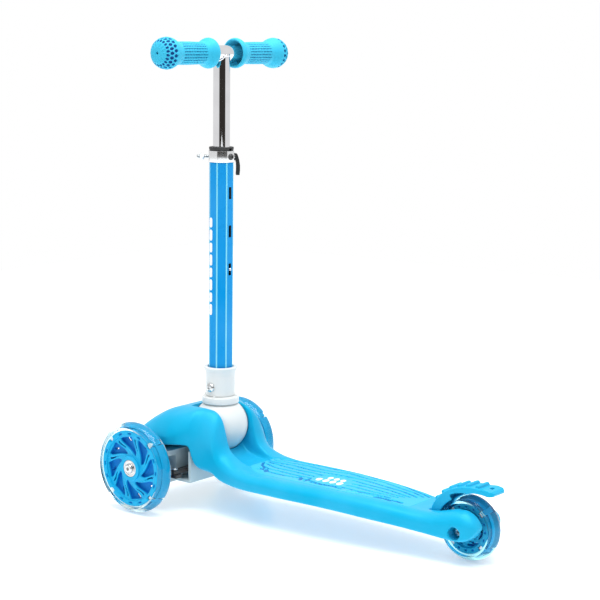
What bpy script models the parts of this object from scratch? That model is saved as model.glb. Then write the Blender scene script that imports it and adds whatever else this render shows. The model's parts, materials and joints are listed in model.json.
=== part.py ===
"""Three-wheeled children's kick scooter that steers by leaning its handlebar.

Every length below is in millimetres and becomes metres when a mesh is made. +X is the rider's
left, the scooter faces -Y and +Z is up. The origin is on the floor, under the middle of the box.
"""

import math

import bmesh
import bpy
from mathutils import Matrix, Vector

MM = 0.001
GAP = 0.35

# Wheels and their axles
FRONT_AXLE_Y = -218.0
REAR_AXLE_Y = 238.0
FRONT_RADIUS = 60.0
REAR_RADIUS = 40.0
WHEEL_WIDTH = 24.0
HALF_TRACK = 103.5
BEARING_RADIUS = 11.0
BEARING_BORE = 4.2
BOLT_RADIUS = 3.85
ROUND = 24

# Steering: the ball swings about a pin along Y, and its tongue pushes the tie rod
BALL_CENTRE = (0.0, -160.0, 108.0)
BALL_RADIUS = 36.5
STEM_RAKE = math.radians(1.0)
LEAN_PIN_RADIUS = 5.0
KINGPIN_X = 72.0
KINGPIN_RADIUS = 3.0
STEER_ARM = 42.0
TIE_ROD_Y = FRONT_AXLE_Y + STEER_ARM
TIE_ROD_Z = 52.0

# Heights along the stem, counted from the middle of the ball
COLLAR_LOW, COLLAR_TOP = 30.0, 40.0
SOCKET_TOP = 79.0
SOCKET_BOLT = 52.0
TUBE_LOW, TUBE_TOP = 46.4, 349.0
CLAMP_TOP = 364.0
FLANGE_TOP = 369.0
BAR_HEIGHT = 489.0
BUTTON_HEIGHT = 209.5
SLOT_PITCH = 50.0
SLOT_COUNT = 4
TUBE_FLAT = 15.5
TUBE_BORE = 13.2
STEM_RADIUS = 11.0
STEM_BORE = 9.4
BAR_RADIUS = 10.0
BAR_HALF = 113.5
GRIP_INNER, GRIP_OUTER = 22.0, 119.5

# Clamp skewer and lever. The clamp's own frame is the stem's, turned so that its -Y faces front right
CLAMP_TURN = math.radians(-45.0)
SKEWER_Y = -24.0
SKEWER_HEIGHT = 354.5
SKEWER_RADIUS = 2.5
LEVER_PIN_X = -17.5
LEVER_PIN_RADIUS = 1.5
EAR_X = 9.0
NUT_X = 22.0
SCREW_RADIUS = 2.0
SCREW_HEIGHT = 356.5

# Brake pedal over the rear wheel
BRAKE_PIN_Y, BRAKE_PIN_Z = 193.0, 47.0
BRAKE_PIN_RADIUS = 2.0
PEDAL_HALF = 14.8
RIB_COUNT = 6
SLOT_HALF = 15.5

# Deck stations from front to rear: (y, half width, ridge height, underside height)
DECK_STATIONS = (
    (-264.0, 52.0, 79.0, 64.0),
    (-259.0, 61.0, 91.0, 60.0),
    (-250.0, 69.0, 101.5, 60.0),
    (-246.0, 71.5, 106.0, 81.5),
    (-230.0, 76.0, 120.5, 83.5),
    (-210.0, 77.0, 130.0, 85.5),
    (-190.0, 77.0, 134.0, 87.5),
    (-178.0, 73.0, 135.0, 88.0),
    (-167.0, 66.0, 135.0, 87.0),
    (-162.0, 62.5, 134.8, 84.0),
    (-158.0, 60.0, 134.5, 66.0),
    (-154.0, 58.0, 134.2, 57.0),
    (-150.0, 56.5, 133.8, 54.5),
    (-143.0, 54.5, 132.2, 53.0),
    (-136.0, 53.5, 128.5, 51.5),
    (-130.0, 53.2, 120.5, 50.0),
    (-126.0, 53.2, 106.0, 48.5),
    (-121.5, 53.4, 90.0, 47.5),
    (-115.0, 54.0, 80.5, 46.2),
    (-107.0, 55.0, 75.0, 45.2),
    (-98.0, 56.5, 70.5, 44.4),
    (-87.0, 58.0, 67.0, 43.6),
    (-75.0, 59.0, 65.0, 43.2),
    (-60.0, 59.5, 63.8, 43.0),
    (-20.0, 59.5, 63.8, 42.8),
    (30.0, 57.8, 63.8, 42.4),
    (70.0, 54.6, 63.2, 41.0),
    (110.0, 50.6, 62.0, 38.6),
    (140.0, 47.0, 60.2, 36.8),
    (165.0, 43.5, 58.0, 35.0),
    (188.0, 40.5, 56.8, 33.0),
    (204.0, 38.8, 58.0, 31.6),
    (220.0, 37.6, 62.0, 30.2),
    (234.0, 37.0, 65.2, 29.6),
    (244.0, 36.2, 65.4, 29.8),
    (252.0, 34.6, 63.0, 32.0),
    (258.5, 31.8, 59.0, 36.0),
    (262.5, 28.0, 54.5, 41.0),
    (265.2, 23.5, 50.0, 46.0),
)
DECK_COLUMNS = (0.0, 0.22, 0.40, 0.52, 0.70, 0.85, 0.95, 1.0)
CHANNEL = (
    (-167.0, 120.0),
    (-130.0, 72.0),
    (-121.5, 68.0),
    (-107.0, 65.0),
    (-98.0, 64.2),
    (-87.0, 64.0),
)


def clamp(value, low=0.0, high=1.0):
    return min(max(value, low), high)


# ---------------------------------------------------------------- materials


def material(name, colour, roughness, metallic=0.0, transmission=0.0):
    made = bpy.data.materials.new(name)
    made.use_nodes = True
    shader = made.node_tree.nodes["Principled BSDF"]
    shader.inputs["Base Color"].default_value = (*colour, 1.0)
    shader.inputs["Roughness"].default_value = roughness
    shader.inputs["Metallic"].default_value = metallic
    shader.inputs["Transmission Weight"].default_value = transmission
    made.diffuse_color = (*colour, 1.0)
    return made


BLUES = {
    "deck_blue": (0.0, 0.42, 0.86),
    "core_blue": (0.0, 0.40, 0.84),
    "tube_blue": (0.0, 0.36, 0.82),
    "grip_blue": (0.02, 0.36, 0.72),
    "pedal_blue": (0.0, 0.40, 0.82),
}


# ---------------------------------------------------------------- mesh making


def stem_frame():
    """The frame of every piece on the stem: +Z runs up the stem from the middle of the ball."""
    centre = Matrix.Translation(Vector(BALL_CENTRE) * MM)
    return centre @ Matrix.Rotation(-STEM_RAKE, 4, "X")


WORLD = Matrix.Identity(4)
STEM = stem_frame()
CLAMP = STEM @ Matrix.Rotation(CLAMP_TURN, 4, "Z")


def add_mesh(name, points, faces, look, frame=WORLD, origin=(0.0, 0.0, 0.0)):
    """A named object. Its points are millimetres in the frame, and its own origin lies at origin."""
    start = Vector(origin)
    mesh = bpy.data.meshes.new(name)
    mesh.from_pydata([(Vector(point) - start) * MM for point in points], [], faces)
    tidy = bmesh.new()
    tidy.from_mesh(mesh)
    bmesh.ops.recalc_face_normals(tidy, faces=tidy.faces)
    tidy.to_mesh(mesh)
    tidy.free()
    mesh.shade_smooth()
    mesh.set_sharp_from_angle(angle=math.radians(35))
    made = bpy.data.objects.new(name, mesh)
    bpy.context.scene.collection.objects.link(made)
    made.matrix_world = frame @ Matrix.Translation(start * MM)
    if look:
        mesh.materials.append(look)
    return made


AXES = {
    "X": lambda radius, angle, along: (along, radius * math.cos(angle), radius * math.sin(angle)),
    "Y": lambda radius, angle, along: (radius * math.cos(angle), along, radius * math.sin(angle)),
    "Z": lambda radius, angle, along: (radius * math.cos(angle), radius * math.sin(angle), along),
}


def turned(profile, axis="Z", centre=(0.0, 0.0, 0.0), sides=ROUND, turn=0.0):
    """Points and faces of a closed (radius, along) outline spun round an axis. Radius 0 is a pole."""
    points, faces, rings = [], [], []
    for radius, along in profile:
        count = 1 if radius == 0.0 else sides
        rings.append(range(len(points), len(points) + count))
        for step in range(count):
            angle = turn + 2.0 * math.pi * step / sides
            spot = AXES[axis](radius, angle, along)
            points.append(tuple(a + b for a, b in zip(spot, centre)))
    for here, there in zip(rings, rings[1:] + rings[:1]):
        for step in range(sides):
            after = (step + 1) % sides
            corners = [here[step % len(here)], here[after % len(here)]]
            corners += [there[after % len(there)], there[step % len(there)]]
            corners = list(dict.fromkeys(corners))
            if len(corners) > 2:
                faces.append(corners)
    return points, faces


def pipe(inner, outer, low, high):
    """The outline of a plain sleeve."""
    return ((outer, high), (outer, low), (inner, low), (inner, high))


def hexagon(bolt, corner, low, high):
    """The outline of a hexagonal nut with room for its bolt, to be turned with six sides."""
    return pipe((bolt + GAP) / math.cos(math.pi / 6.0), corner, low, high)


def rod(radius, low, high):
    """The outline of a plain round bar."""
    return ((0.0, high), (radius, high), (radius, low), (0.0, low))


def prism(outline, axis, low, high):
    """An outline of pairs pushed along an axis. The pairs are (y, z), (x, z) or (x, y)."""
    order = {
        "X": lambda a, b, along: (along, a, b),
        "Y": lambda a, b, along: (a, along, b),
        "Z": lambda a, b, along: (a, b, along),
    }
    place = order[axis]
    count = len(outline)
    points = [place(a, b, low) for a, b in outline] + [place(a, b, high) for a, b in outline]
    faces = [tuple(range(count)), tuple(range(2 * count - 1, count - 1, -1))]
    faces += [(i, (i + 1) % count, (i + 1) % count + count, i + count) for i in range(count)]
    return points, faces


def box(low, high):
    outline = ((low[0], low[1]), (high[0], low[1]), (high[0], high[1]), (low[0], high[1]))
    return prism(outline, "Z", low[2], high[2])


def arc(centre, radius, start, end, steps):
    """Points along an arc, in degrees from the first axis of the pair to the second."""
    found = []
    for step in range(steps + 1):
        angle = math.radians(start + (end - start) * step / steps)
        found.append((centre[0] + radius * math.cos(angle), centre[1] + radius * math.sin(angle)))
    return found


def octagon(flat, turn=22.5):
    """An outline with eight sides, each at distance flat from the middle."""
    return arc((0.0, 0.0), flat / math.cos(math.radians(22.5)), turn, turn + 315.0, 7)


def combine(target, shape, operation, frame=WORLD, solver="EXACT"):
    """Cuts a shape from the target or joins it on, with a hidden helper object."""
    helper = add_mesh("helper_" + target.name, *shape, None, frame)
    helper.hide_render = True
    helper.display_type = "WIRE"
    change = target.modifiers.new("combine", "BOOLEAN")
    change.operation = operation
    change.object = helper
    change.solver = solver


def cut(target, *shapes, frame=WORLD, solver="EXACT"):
    for shape in shapes:
        combine(target, shape, "DIFFERENCE", frame, solver)


def join(target, *shapes, frame=WORLD):
    for shape in shapes:
        combine(target, shape, "UNION", frame)


# ---------------------------------------------------------------- deck


def channel_floor(y):
    """The floor of the groove behind the ball, between the two lobes of the neck."""
    for (y0, z0), (y1, z1) in zip(CHANNEL, CHANNEL[1:]):
        if y0 <= y <= y1:
            return z0 + (z1 - z0) * (y - y0) / (y1 - y0)
    return 1000.0


def deck_top(x, station):
    y, half, ridge, under = station
    droop = 27.0 * clamp((abs(x) - 30.0) / 47.0) ** 2 * clamp((ridge - 100.0) / 35.0)
    crown = ridge - droop
    lobe = clamp((abs(x) - 21.5) / 5.0)
    crown = min(crown, channel_floor(y) + (crown - channel_floor(y)) * lobe)
    depth = crown - under
    reach = 13.0 + 0.2 * depth
    edge = clamp((abs(x) - half + reach) / reach)
    return crown - 0.5 * depth * (1.0 - math.sqrt(1.0 - edge ** 2))


def deck_under(x, station):
    half, ridge, under = station[1:]
    reach = 6.0 + 12.0 * clamp((ridge - 75.0) / 40.0)
    edge = clamp((abs(x) - half + reach) / reach)
    return under + 0.3 * (deck_top(half, station) - under) * (1.0 - math.sqrt(1.0 - edge ** 2))


def deck_body():
    """Points and faces of the one-piece deck, neck and front wings, lofted from its stations."""
    columns = [-u for u in reversed(DECK_COLUMNS[1:])] + list(DECK_COLUMNS)
    across, rows = len(columns), len(DECK_STATIONS)
    points = []
    for height in (deck_top, deck_under):
        for station in DECK_STATIONS:
            for u in columns:
                x = u * station[1]
                points.append((x, station[0], height(x, station)))
    faces = []
    under = across * rows
    for row in range(rows - 1):
        for column in range(across - 1):
            a = row * across + column
            quad = (a, a + 1, a + across + 1, a + across)
            faces.append(quad)
            faces.append(tuple(under + corner for corner in reversed(quad)))
    rim = list(range(across))
    rim += [row * across + across - 1 for row in range(1, rows)]
    rim += [(rows - 1) * across + column for column in range(across - 2, -1, -1)]
    rim += [row * across for row in range(rows - 2, 0, -1)]
    for here, there in zip(rim, rim[1:] + rim[:1]):
        faces.append((there, here, under + here, under + there))
    return points, faces


def collar_sweep():
    """The fan that the collar sweeps through as the ball swings about its pin."""
    centre = (BALL_CENTRE[0], BALL_CENTRE[2])
    outline = [centre] + arc(centre, 48.0, 41.5, 138.5, 12)
    return prism(outline, "Y", BALL_CENTRE[1] - 26.0, BALL_CENTRE[1] + 40.0)


def underside_pockets():
    """The hollows between the deck's stiffening ribs."""
    found = []
    length, rib, start = 44.0, 4.0, -72.0
    for row in range(5):
        low = start + row * (length + rib)
        widest = 57.0 - 0.064 * (row * (length + rib)) - 9.0 - 0.6 * row
        for side in (-1.0, 1.0):
            near, far = sorted((side * rib / 2.0, side * widest))
            found.append(box((near, low, 20.0), (far, low + length, 53.0)))
    return found


def add_deck(look):
    """The moulded deck. Its skin has bent quads, which the manifold solver cuts cleanly."""
    deck = add_mesh("deck", *deck_body(), look)
    axle = (0.0, REAR_AXLE_Y, REAR_RADIUS)
    holes = [turned(ball_outline(BALL_RADIUS + 0.6, -90.0, 90.0), "Z", BALL_CENTRE), collar_sweep()]
    holes.append(turned(rod(52.0, -SLOT_HALF, SLOT_HALF), "X", axle, 48))
    holes.append(turned(rod(BOLT_RADIUS + GAP, -45.0, 45.0), "X", axle, 16))
    for low, high in ((-45.0, -21.0), (21.0, 45.0)):
        holes.append(turned(rod(7.6, low, high), "X", axle, 24))
    brake_hole = rod(BRAKE_PIN_RADIUS + GAP, -21.5, 21.5)
    holes.append(turned(brake_hole, "X", (0.0, BRAKE_PIN_Y, BRAKE_PIN_Z), 12))
    holes.append(turned(rod(LEAN_PIN_RADIUS + GAP, -208.0, -170.0), "Y", (0.0, 0.0, BALL_CENTRE[2]), 16))
    holes.append(box((-10.0, -184.5, 70.0), (10.0, -166.0, 100.0)))
    cut(deck, *holes, *underside_pockets(), solver="MANIFOLD")


def ball_outline(radius, low, high, steps=12):
    """Half of a ball, from its top pole to its bottom one, as (radius, along)."""
    found = []
    for step in range(steps + 1):
        angle = math.radians(high + (low - high) * step / steps)
        across = radius * math.cos(angle)
        found.append((0.0 if across < 1e-6 else across, radius * math.sin(angle)))
    return found


# ---------------------------------------------------------------- truck and steering linkage


def add_truck():
    """The ribbed grey housing under the wings, with a fork at each end for the wheel's knuckle."""
    middle_y = FRONT_AXLE_Y
    shell = box((-80.0, middle_y - 24.0, 38.0), (80.0, middle_y + 32.0, 80.0))
    housing = add_mesh("truck_housing", *shell, LOOKS["housing_grey"])
    for side in (-1.0, 1.0):
        near, far = sorted((side * 60.0, side * 90.0))
        pin_hole = turned(rod(KINGPIN_RADIUS + GAP, 30.0, 90.0), "Z", (side * KINGPIN_X, middle_y, 0.0), 16)
        cut(housing, box((near, middle_y - 40.0, 46.0), (far, middle_y + 40.0, 73.6)), pin_hole)
    for low, high in ((-56.0, -20.0), (-17.0, 17.0), (20.0, 56.0)):
        cut(housing, box((low, middle_y - 20.0, 30.0), (high, middle_y + 28.0, 76.0)))
    join(housing, box((-58.0, middle_y + 30.0, 38.0), (58.0, middle_y + 56.0, 42.0)))
    back = ((-58.0, 38.5), (58.0, 38.5), (58.0, 80.0), (36.0, 80.0), (30.0, 67.0), (-30.0, 67.0))
    back += ((-36.0, 80.0), (-58.0, 80.0))
    join(housing, prism(back, "Y", middle_y + 53.0, middle_y + 56.5))
    for side, word in ((1.0, "left"), (-1.0, "right")):
        pin = [(0.0, 81.9), (4.6, 81.9), (4.6, 80.35), (KINGPIN_RADIUS, 80.35)]
        pin += [(KINGPIN_RADIUS, 37.0), (0.0, 37.0)]
        shape = turned(pin, "Z", (side * KINGPIN_X, middle_y, 0.0), 16)
        add_mesh("kingpin_" + word, *shape, LOOKS["zinc"])


def add_knuckle(side, word):
    """Turns on its kingpin, carries the wheel's axle, and is pushed at the end of its arm."""
    x, y = side * KINGPIN_X, FRONT_AXLE_Y
    centre = (x, y, 0.0)
    hub = (x, y, FRONT_RADIUS)
    barrel = turned(rod(8.5, 46.4, 73.2), "Z", centre, 24)
    knuckle = add_mesh("knuckle_" + word, *barrel, LOOKS["black_steel"], origin=hub)
    low, high = sorted((side * 4.0, side * 20.8))
    stub = turned(rod(7.0, low, high), "X", hub, 20)
    arm = box((x - 6.0, y, 46.4), (x + 6.0, y + STEER_ARM + 7.0, 51.0))
    join(knuckle, stub, arm)
    cut(knuckle, turned(rod(KINGPIN_RADIUS + GAP, 40.0, 80.0), "Z", centre, 16))
    near, far = sorted((side * 9.0, side * 25.0))
    cut(knuckle, turned(rod(BOLT_RADIUS + GAP, near, far), "X", hub, 16))
    slot = arc((x, y + STEER_ARM + 1.6), 3.1, 0.0, 180.0, 6)
    slot += arc((x, y + STEER_ARM - 1.0), 3.1, 180.0, 360.0, 6)
    cut(knuckle, prism(slot, "Z", 44.0, 54.0))


def add_tie_rod():
    """A flat bar with an eye over each steering arm and a fork round the ball's tongue."""
    low, high = 51.5, 56.5
    reach = KINGPIN_X + 6.0
    flat = box((-reach, TIE_ROD_Y - 5.0, low), (reach, TIE_ROD_Y + 5.0, high))
    bar = add_mesh("tie_rod", *flat, LOOKS["black_steel"], origin=(0.0, TIE_ROD_Y, TIE_ROD_Z))
    join(bar, box((-9.0, TIE_ROD_Y - 9.2, low), (9.0, TIE_ROD_Y + 10.0, high)))
    cut(bar, box((-4.4, TIE_ROD_Y - 6.6, 40.0), (4.4, TIE_ROD_Y + 7.5, 70.0)))
    for side, word in ((1.0, "left"), (-1.0, "right")):
        centre = (side * KINGPIN_X, TIE_ROD_Y, 0.0)
        cut(bar, turned(rod(2.5 + GAP, 45.0, 65.0), "Z", centre, 12))
        rivet = ((0.0, 59.0), (4.2, 59.0), (4.2, 56.85), (2.5, 56.85), (2.5, 46.0), (0.0, 46.0))
        add_mesh("tie_pin_" + word, *turned(rivet, "Z", centre, 12), LOOKS["zinc"])


# ---------------------------------------------------------------- wheels


def tyre_outline(radius, inner):
    """A tyre's closed section: a rounded tread, soft shoulders and an inner bore."""
    half = WHEEL_WIDTH / 2.0
    tread = [(radius - 14.0 * (1.0 - math.cos(math.asin(t / 14.0))), t) for t in (9.0, 4.5, 0.0, -4.5, -9.0)]
    return [(inner, half - 1.5), (radius - 6.5, half)] + tread + [(radius - 6.5, -half), (inner, -half + 1.5)]


def window_spoke(hub, rim, bend, turn):
    """One spoke, curved forward like a turbine blade, as an outline across the wheel."""
    sides = ([], [])
    for step in range(5):
        share = step / 4.0
        radius = hub + (rim - hub) * share
        angle = turn + bend * math.sin(share * math.pi / 2.0)
        half = 3.0 + 1.2 * abs(2.0 * share - 1.0)
        for edge, sign in zip(sides, (-1.0, 1.0)):
            spread = sign * half / radius
            edge.append((radius * math.cos(angle + spread), radius * math.sin(angle + spread)))
    return sides[0] + sides[1][::-1]


def moved(shape, centre):
    points, faces = shape
    return [tuple(a + b for a, b in zip(point, centre)) for point in points], faces


def add_wheel(word, centre, radius, spokes, tyre_look, core_look):
    """A tyre on a spoked core with a light ring between them and a bearing in each end of the hub."""
    core_radius = radius - 9.6
    half = WHEEL_WIDTH / 2.0
    sides = 40 if radius > 50.0 else 32
    tyre = turned(tyre_outline(radius, core_radius + 2.6), "X", centre, sides)
    add_mesh(word + "_tyre", *tyre, LOOKS[tyre_look], origin=centre)
    rim = pipe(core_radius - 7.5, core_radius, -half + 2.5, half - 2.5)
    core = add_mesh(word + "_core", *turned(rim, "X", centre, sides), LOOKS[core_look], origin=centre)
    hub = [(BEARING_RADIUS + 0.3, 10.3), (16.5, 10.3), (16.5, -10.3), (BEARING_RADIUS + 0.3, -10.3)]
    hub += [(BEARING_RADIUS + 0.3, -2.6), (8.5, -2.6), (8.5, 2.6), (BEARING_RADIUS + 0.3, 2.6)]
    join(core, turned(hub, "X", centre, 20))
    for number in range(spokes):
        turn = 2.0 * math.pi * number / spokes
        blade = prism(window_spoke(15.5, core_radius - 5.0, 0.6, turn), "X", -half + 5.0, half - 5.0)
        join(core, moved(blade, centre))
    ring = turned(pipe(core_radius + 0.35, core_radius + 2.25, -half + 3.5, half - 3.5), "X", centre, sides)
    add_mesh(word + "_light_ring", *ring, LOOKS["light_ring"], origin=centre)
    for end, name in ((1.0, "bearing_a"), (-1.0, "bearing_b")):
        low, high = sorted((end * 3.0, end * 10.0))
        sleeve = turned(pipe(BEARING_BORE, BEARING_RADIUS, low, high), "X", centre, 16)
        add_mesh(word + "_" + name, *sleeve, LOOKS["steel"], origin=centre)


def add_front_bolt(side, word):
    centre = (side * HALF_TRACK, FRONT_AXLE_Y, FRONT_RADIUS)
    shape = [(0.0, -21.0), (BOLT_RADIUS, -21.0), (BOLT_RADIUS, 10.4), (6.2, 10.4), (6.2, 12.8), (5.0, 13.6)]
    shape += [(2.5, 13.6), (2.3, 11.6), (0.0, 11.6)]
    outline = [(radius, side * along) for radius, along in shape]
    add_mesh("axle_bolt_" + word, *turned(outline, "X", centre, 18), LOOKS["zinc"])


def add_rear_axle():
    centre = (0.0, REAR_AXLE_Y, REAR_RADIUS)
    bolt = [(0.0, -26.5), (BOLT_RADIUS, -26.5), (BOLT_RADIUS, 21.4), (6.4, 21.4), (6.4, 24.5), (5.2, 25.6)]
    bolt += [(2.6, 25.6), (2.4, 23.4), (0.0, 23.4)]
    add_mesh("rear_axle_bolt", *turned(bolt, "X", centre, 18), LOOKS["zinc"])
    nut = turned(hexagon(BOLT_RADIUS, 6.9, -25.8, -21.4), "X", centre, 6)
    add_mesh("rear_axle_nut", *nut, LOOKS["zinc"])
    for side, word in ((1.0, "left"), (-1.0, "right")):
        low, high = sorted((side * 10.4, side * 15.1))
        spacer = turned(pipe(BEARING_BORE, 6.0, low, high), "X", centre, 16)
        add_mesh("rear_spacer_" + word, *spacer, LOOKS["steel"])


# ---------------------------------------------------------------- brake


def around(radius, turn):
    """A point (y, z) at a radius and an angle in degrees about the rear axle."""
    angle = math.radians(turn)
    return REAR_AXLE_Y + radius * math.cos(angle), REAR_RADIUS + radius * math.sin(angle)


def pedal_outline():
    """The pedal's side view: it hugs the wheel, then lifts off to a tip, with grip ribs on top."""
    axle = (REAR_AXLE_Y, REAR_RADIUS)
    inner = arc(axle, 43.8, 172.0, 88.0, 12)
    tail = [(252.0, 86.2), (262.0, 86.0), (270.0, 84.9), (276.8, 85.6), (277.8, 88.6), (274.0, 91.4)]
    tail += [(266.0, 92.8)]
    outer = []
    for rib in range(RIB_COUNT):
        middle = 73.0 + 13.8 * rib
        lift = 0.0028 * max(0.0, 114.0 - middle) ** 2
        for turn, radius in ((-3.6, 49.8), (-2.3, 53.4), (2.3, 53.4), (3.6, 49.8)):
            outer.append(around(radius + lift, middle + turn))
    return inner + tail + outer + arc(axle, 49.6, 152.0, 172.0, 3)


def add_brake():
    hinge = (0.0, BRAKE_PIN_Y, BRAKE_PIN_Z)
    shell = prism(pedal_outline(), "X", -PEDAL_HALF, PEDAL_HALF)
    pedal = add_mesh("brake_pedal", *shell, LOOKS["pedal_blue"], origin=hinge)
    join(pedal, turned(rod(4.0, -PEDAL_HALF, PEDAL_HALF), "X", hinge, 16))
    axle = (REAR_AXLE_Y, REAR_RADIUS)
    skirt = arc(axle, 37.5, 156.0, 118.0, 4) + arc(axle, 45.5, 118.0, 165.0, 5)
    for low, high in ((-PEDAL_HALF, -12.9), (12.9, PEDAL_HALF)):
        join(pedal, prism(skirt, "X", low, high))
    cut(pedal, turned(rod(BRAKE_PIN_RADIUS + GAP, -20.0, 20.0), "X", hinge, 12))
    cut(pedal, box((-3.5, 265.5, 70.0), (3.5, 269.5, 110.0)))
    add_mesh("brake_pin", *turned(rod(BRAKE_PIN_RADIUS, -21.0, 21.0), "X", hinge, 12), LOOKS["zinc"])


# ---------------------------------------------------------------- steering head and stem


def add_head():
    """The white ball, its collar and the socket that holds the stem, all on one swinging body."""
    cap = [(10.35, COLLAR_LOW - GAP), (16.0, COLLAR_LOW - GAP)]
    ball = cap + ball_outline(BALL_RADIUS, -90.0, 53.0) + [(0.0, 12.0), (10.35, 12.0)]
    steering = add_mesh("steering_ball", *turned(ball, "Z"), LOOKS["white"], STEM)
    pin_room = turned(rod(LEAN_PIN_RADIUS + GAP, -45.0, 18.0), "Y", sides=16)
    tongue_room = box((-3.4, -22.4, -40.0), (3.4, -9.6, -9.0))
    cut(steering, pin_room, frame=Matrix.Translation(Vector(BALL_CENTRE) * MM))
    cut(steering, tongue_room, frame=Matrix.Translation(Vector(BALL_CENTRE) * MM))
    collar = ((10.35, COLLAR_TOP), (23.2, COLLAR_TOP), (24.5, COLLAR_TOP - 1.3), (24.5, COLLAR_LOW + 1.0))
    collar += ((23.5, COLLAR_LOW), (10.35, COLLAR_LOW))
    add_mesh("head_collar", *turned(collar, "Z"), LOOKS["white"], STEM)
    socket = ((0.0, 45.8), (17.2, 45.8), (17.2, SOCKET_TOP), (21.8, SOCKET_TOP), (22.4, SOCKET_TOP - 1.0))
    socket += ((19.3, SOCKET_TOP - 9.0), (19.3, COLLAR_TOP + GAP), (10.0, COLLAR_TOP + GAP))
    socket += ((10.0, 12.4), (0.0, 12.4))
    cup = add_mesh("tube_socket", *turned(socket, "Z"), LOOKS["white"], STEM)
    cut(cup, turned(rod(3.0 + GAP, -30.0, 30.0), "X", (0.0, 0.0, SOCKET_BOLT), 12), frame=STEM)
    plate = box((-3.0, -22.0, -56.0), (3.0, -10.0, -9.4))
    hang = Matrix.Translation(Vector(BALL_CENTRE) * MM)
    add_mesh("steering_tongue", *plate, LOOKS["zinc"], hang)
    pin = turned(rod(LEAN_PIN_RADIUS, -206.0, -143.0), "Y", (0.0, 0.0, BALL_CENTRE[2]), 16)
    add_mesh("lean_pin", *pin, LOOKS["zinc"])
    bolt = ((0.0, 23.0), (4.8, 23.0), (6.4, 20.1), (3.0, 20.1), (3.0, -23.6), (0.0, -23.6))
    add_mesh("socket_bolt", *turned(bolt, "X", (0.0, 0.0, SOCKET_BOLT), 18), LOOKS["zinc"], STEM)
    nut = turned(hexagon(3.0, 6.0, -23.3, -19.7), "X", (0.0, 0.0, SOCKET_BOLT), 6)
    add_mesh("socket_nut", *nut, LOOKS["zinc"], STEM)


def slot_shape(height):
    """A tall slot with round ends through the rear wall of the tube."""
    outline = arc((0.0, height + 5.2), 2.4, 0.0, 180.0, 4) + arc((0.0, height - 5.2), 2.4, 180.0, 360.0, 4)
    return prism(outline, "Y", 6.0, 24.0)


def add_lower_tube():
    extrusion = prism(octagon(TUBE_FLAT), "Z", TUBE_LOW, TUBE_TOP)
    tube = add_mesh("lower_tube", *extrusion, LOOKS["tube_blue"], STEM)
    join(tube, turned(rod(14.6, TUBE_TOP - 5.0, CLAMP_TOP - 0.2), "Z", sides=24), frame=STEM)
    cut(tube, turned(rod(TUBE_BORE, 0.0, 400.0), "Z", sides=24), frame=STEM)
    cut(tube, turned(rod(3.0 + GAP, -30.0, 30.0), "X", (0.0, 0.0, SOCKET_BOLT), 12), frame=STEM)
    screw_hole = turned(rod(SCREW_RADIUS + GAP, 12.9, 20.0), "Y", (0.0, 0.0, SCREW_HEIGHT), 12)
    cut(tube, screw_hole, frame=STEM)
    for number in range(SLOT_COUNT):
        cut(tube, slot_shape(BUTTON_HEIGHT + SLOT_PITCH * number), frame=STEM)
    bush = ((11.35, FLANGE_TOP), (15.6, FLANGE_TOP), (16.3, FLANGE_TOP - 1.0), (16.3, CLAMP_TOP + GAP))
    bush += ((12.85, CLAMP_TOP + GAP), (12.85, 332.0), (11.35, 332.0))
    sleeve = add_mesh("tube_bushing", *turned(bush, "Z", sides=24), LOOKS["black_plastic"], STEM)
    cut(sleeve, slot_shape(BUTTON_HEIGHT + SLOT_PITCH * (SLOT_COUNT - 1)), frame=STEM)


def add_clamp_collar():
    """The split aluminium collar and the black screw that keeps it on the tube."""
    low, high = TUBE_TOP + GAP, CLAMP_TOP
    collar = add_mesh("clamp_collar", *prism(octagon(16.3), "Z", low, high), LOOKS["aluminium"], STEM)
    join(collar, box((-EAR_X, SKEWER_Y - 6.0, low + 1.0), (EAR_X, -13.0, high - 1.0)), frame=CLAMP)
    cut(collar, turned(rod(14.6 + GAP, 300.0, 400.0), "Z", sides=24), frame=STEM)
    cut(collar, box((-1.2, -40.0, 300.0), (1.2, 0.0, 400.0)), frame=CLAMP)
    skewer_hole = turned(rod(SKEWER_RADIUS + GAP, -30.0, 30.0), "X", (0.0, SKEWER_Y, SKEWER_HEIGHT), 12)
    cut(collar, skewer_hole, frame=CLAMP)
    middle = (0.0, 0.0, SCREW_HEIGHT)
    cut(collar, turned(rod(SCREW_RADIUS + GAP, 8.0, 30.0), "Y", middle, 12), frame=STEM)
    screw = ((0.0, 19.4), (1.6, 19.3), (3.3, 18.6), (4.4, 16.7), (SCREW_RADIUS, 16.7))
    screw += ((SCREW_RADIUS, 13.4), (0.0, 13.4))
    add_mesh("collar_screw", *turned(screw, "Y", middle, 16), LOOKS["black_steel"], STEM)


def add_skewer():
    """The clamp's skewer, with an eye for the lever's pin, its seat and its nut."""
    centre = (0.0, SKEWER_Y, SKEWER_HEIGHT)
    hinge = (LEVER_PIN_X, SKEWER_Y, SKEWER_HEIGHT)
    round_bar = turned(rod(SKEWER_RADIUS, LEVER_PIN_X + 1.0, 31.0), "X", centre, 12)
    skewer = add_mesh("clamp_skewer", *round_bar, LOOKS["zinc"], CLAMP)
    join(skewer, turned(rod(4.0, -2.5, 2.5), "Y", hinge, 16), frame=CLAMP)
    cut(skewer, turned(rod(LEVER_PIN_RADIUS + GAP, -9.0, 9.0), "Y", hinge, 12), frame=CLAMP)
    seat = turned(pipe(SKEWER_RADIUS + GAP, 4.0, LEVER_PIN_X + 5.1, -EAR_X - GAP), "X", centre, 16)
    add_mesh("cam_seat", *seat, LOOKS["black_plastic"], CLAMP)
    nut = turned(hexagon(SKEWER_RADIUS, 4.6, NUT_X, NUT_X + 5.1), "X", centre, 6)
    add_mesh("clamp_nut", *nut, LOOKS["zinc"], CLAMP)


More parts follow.
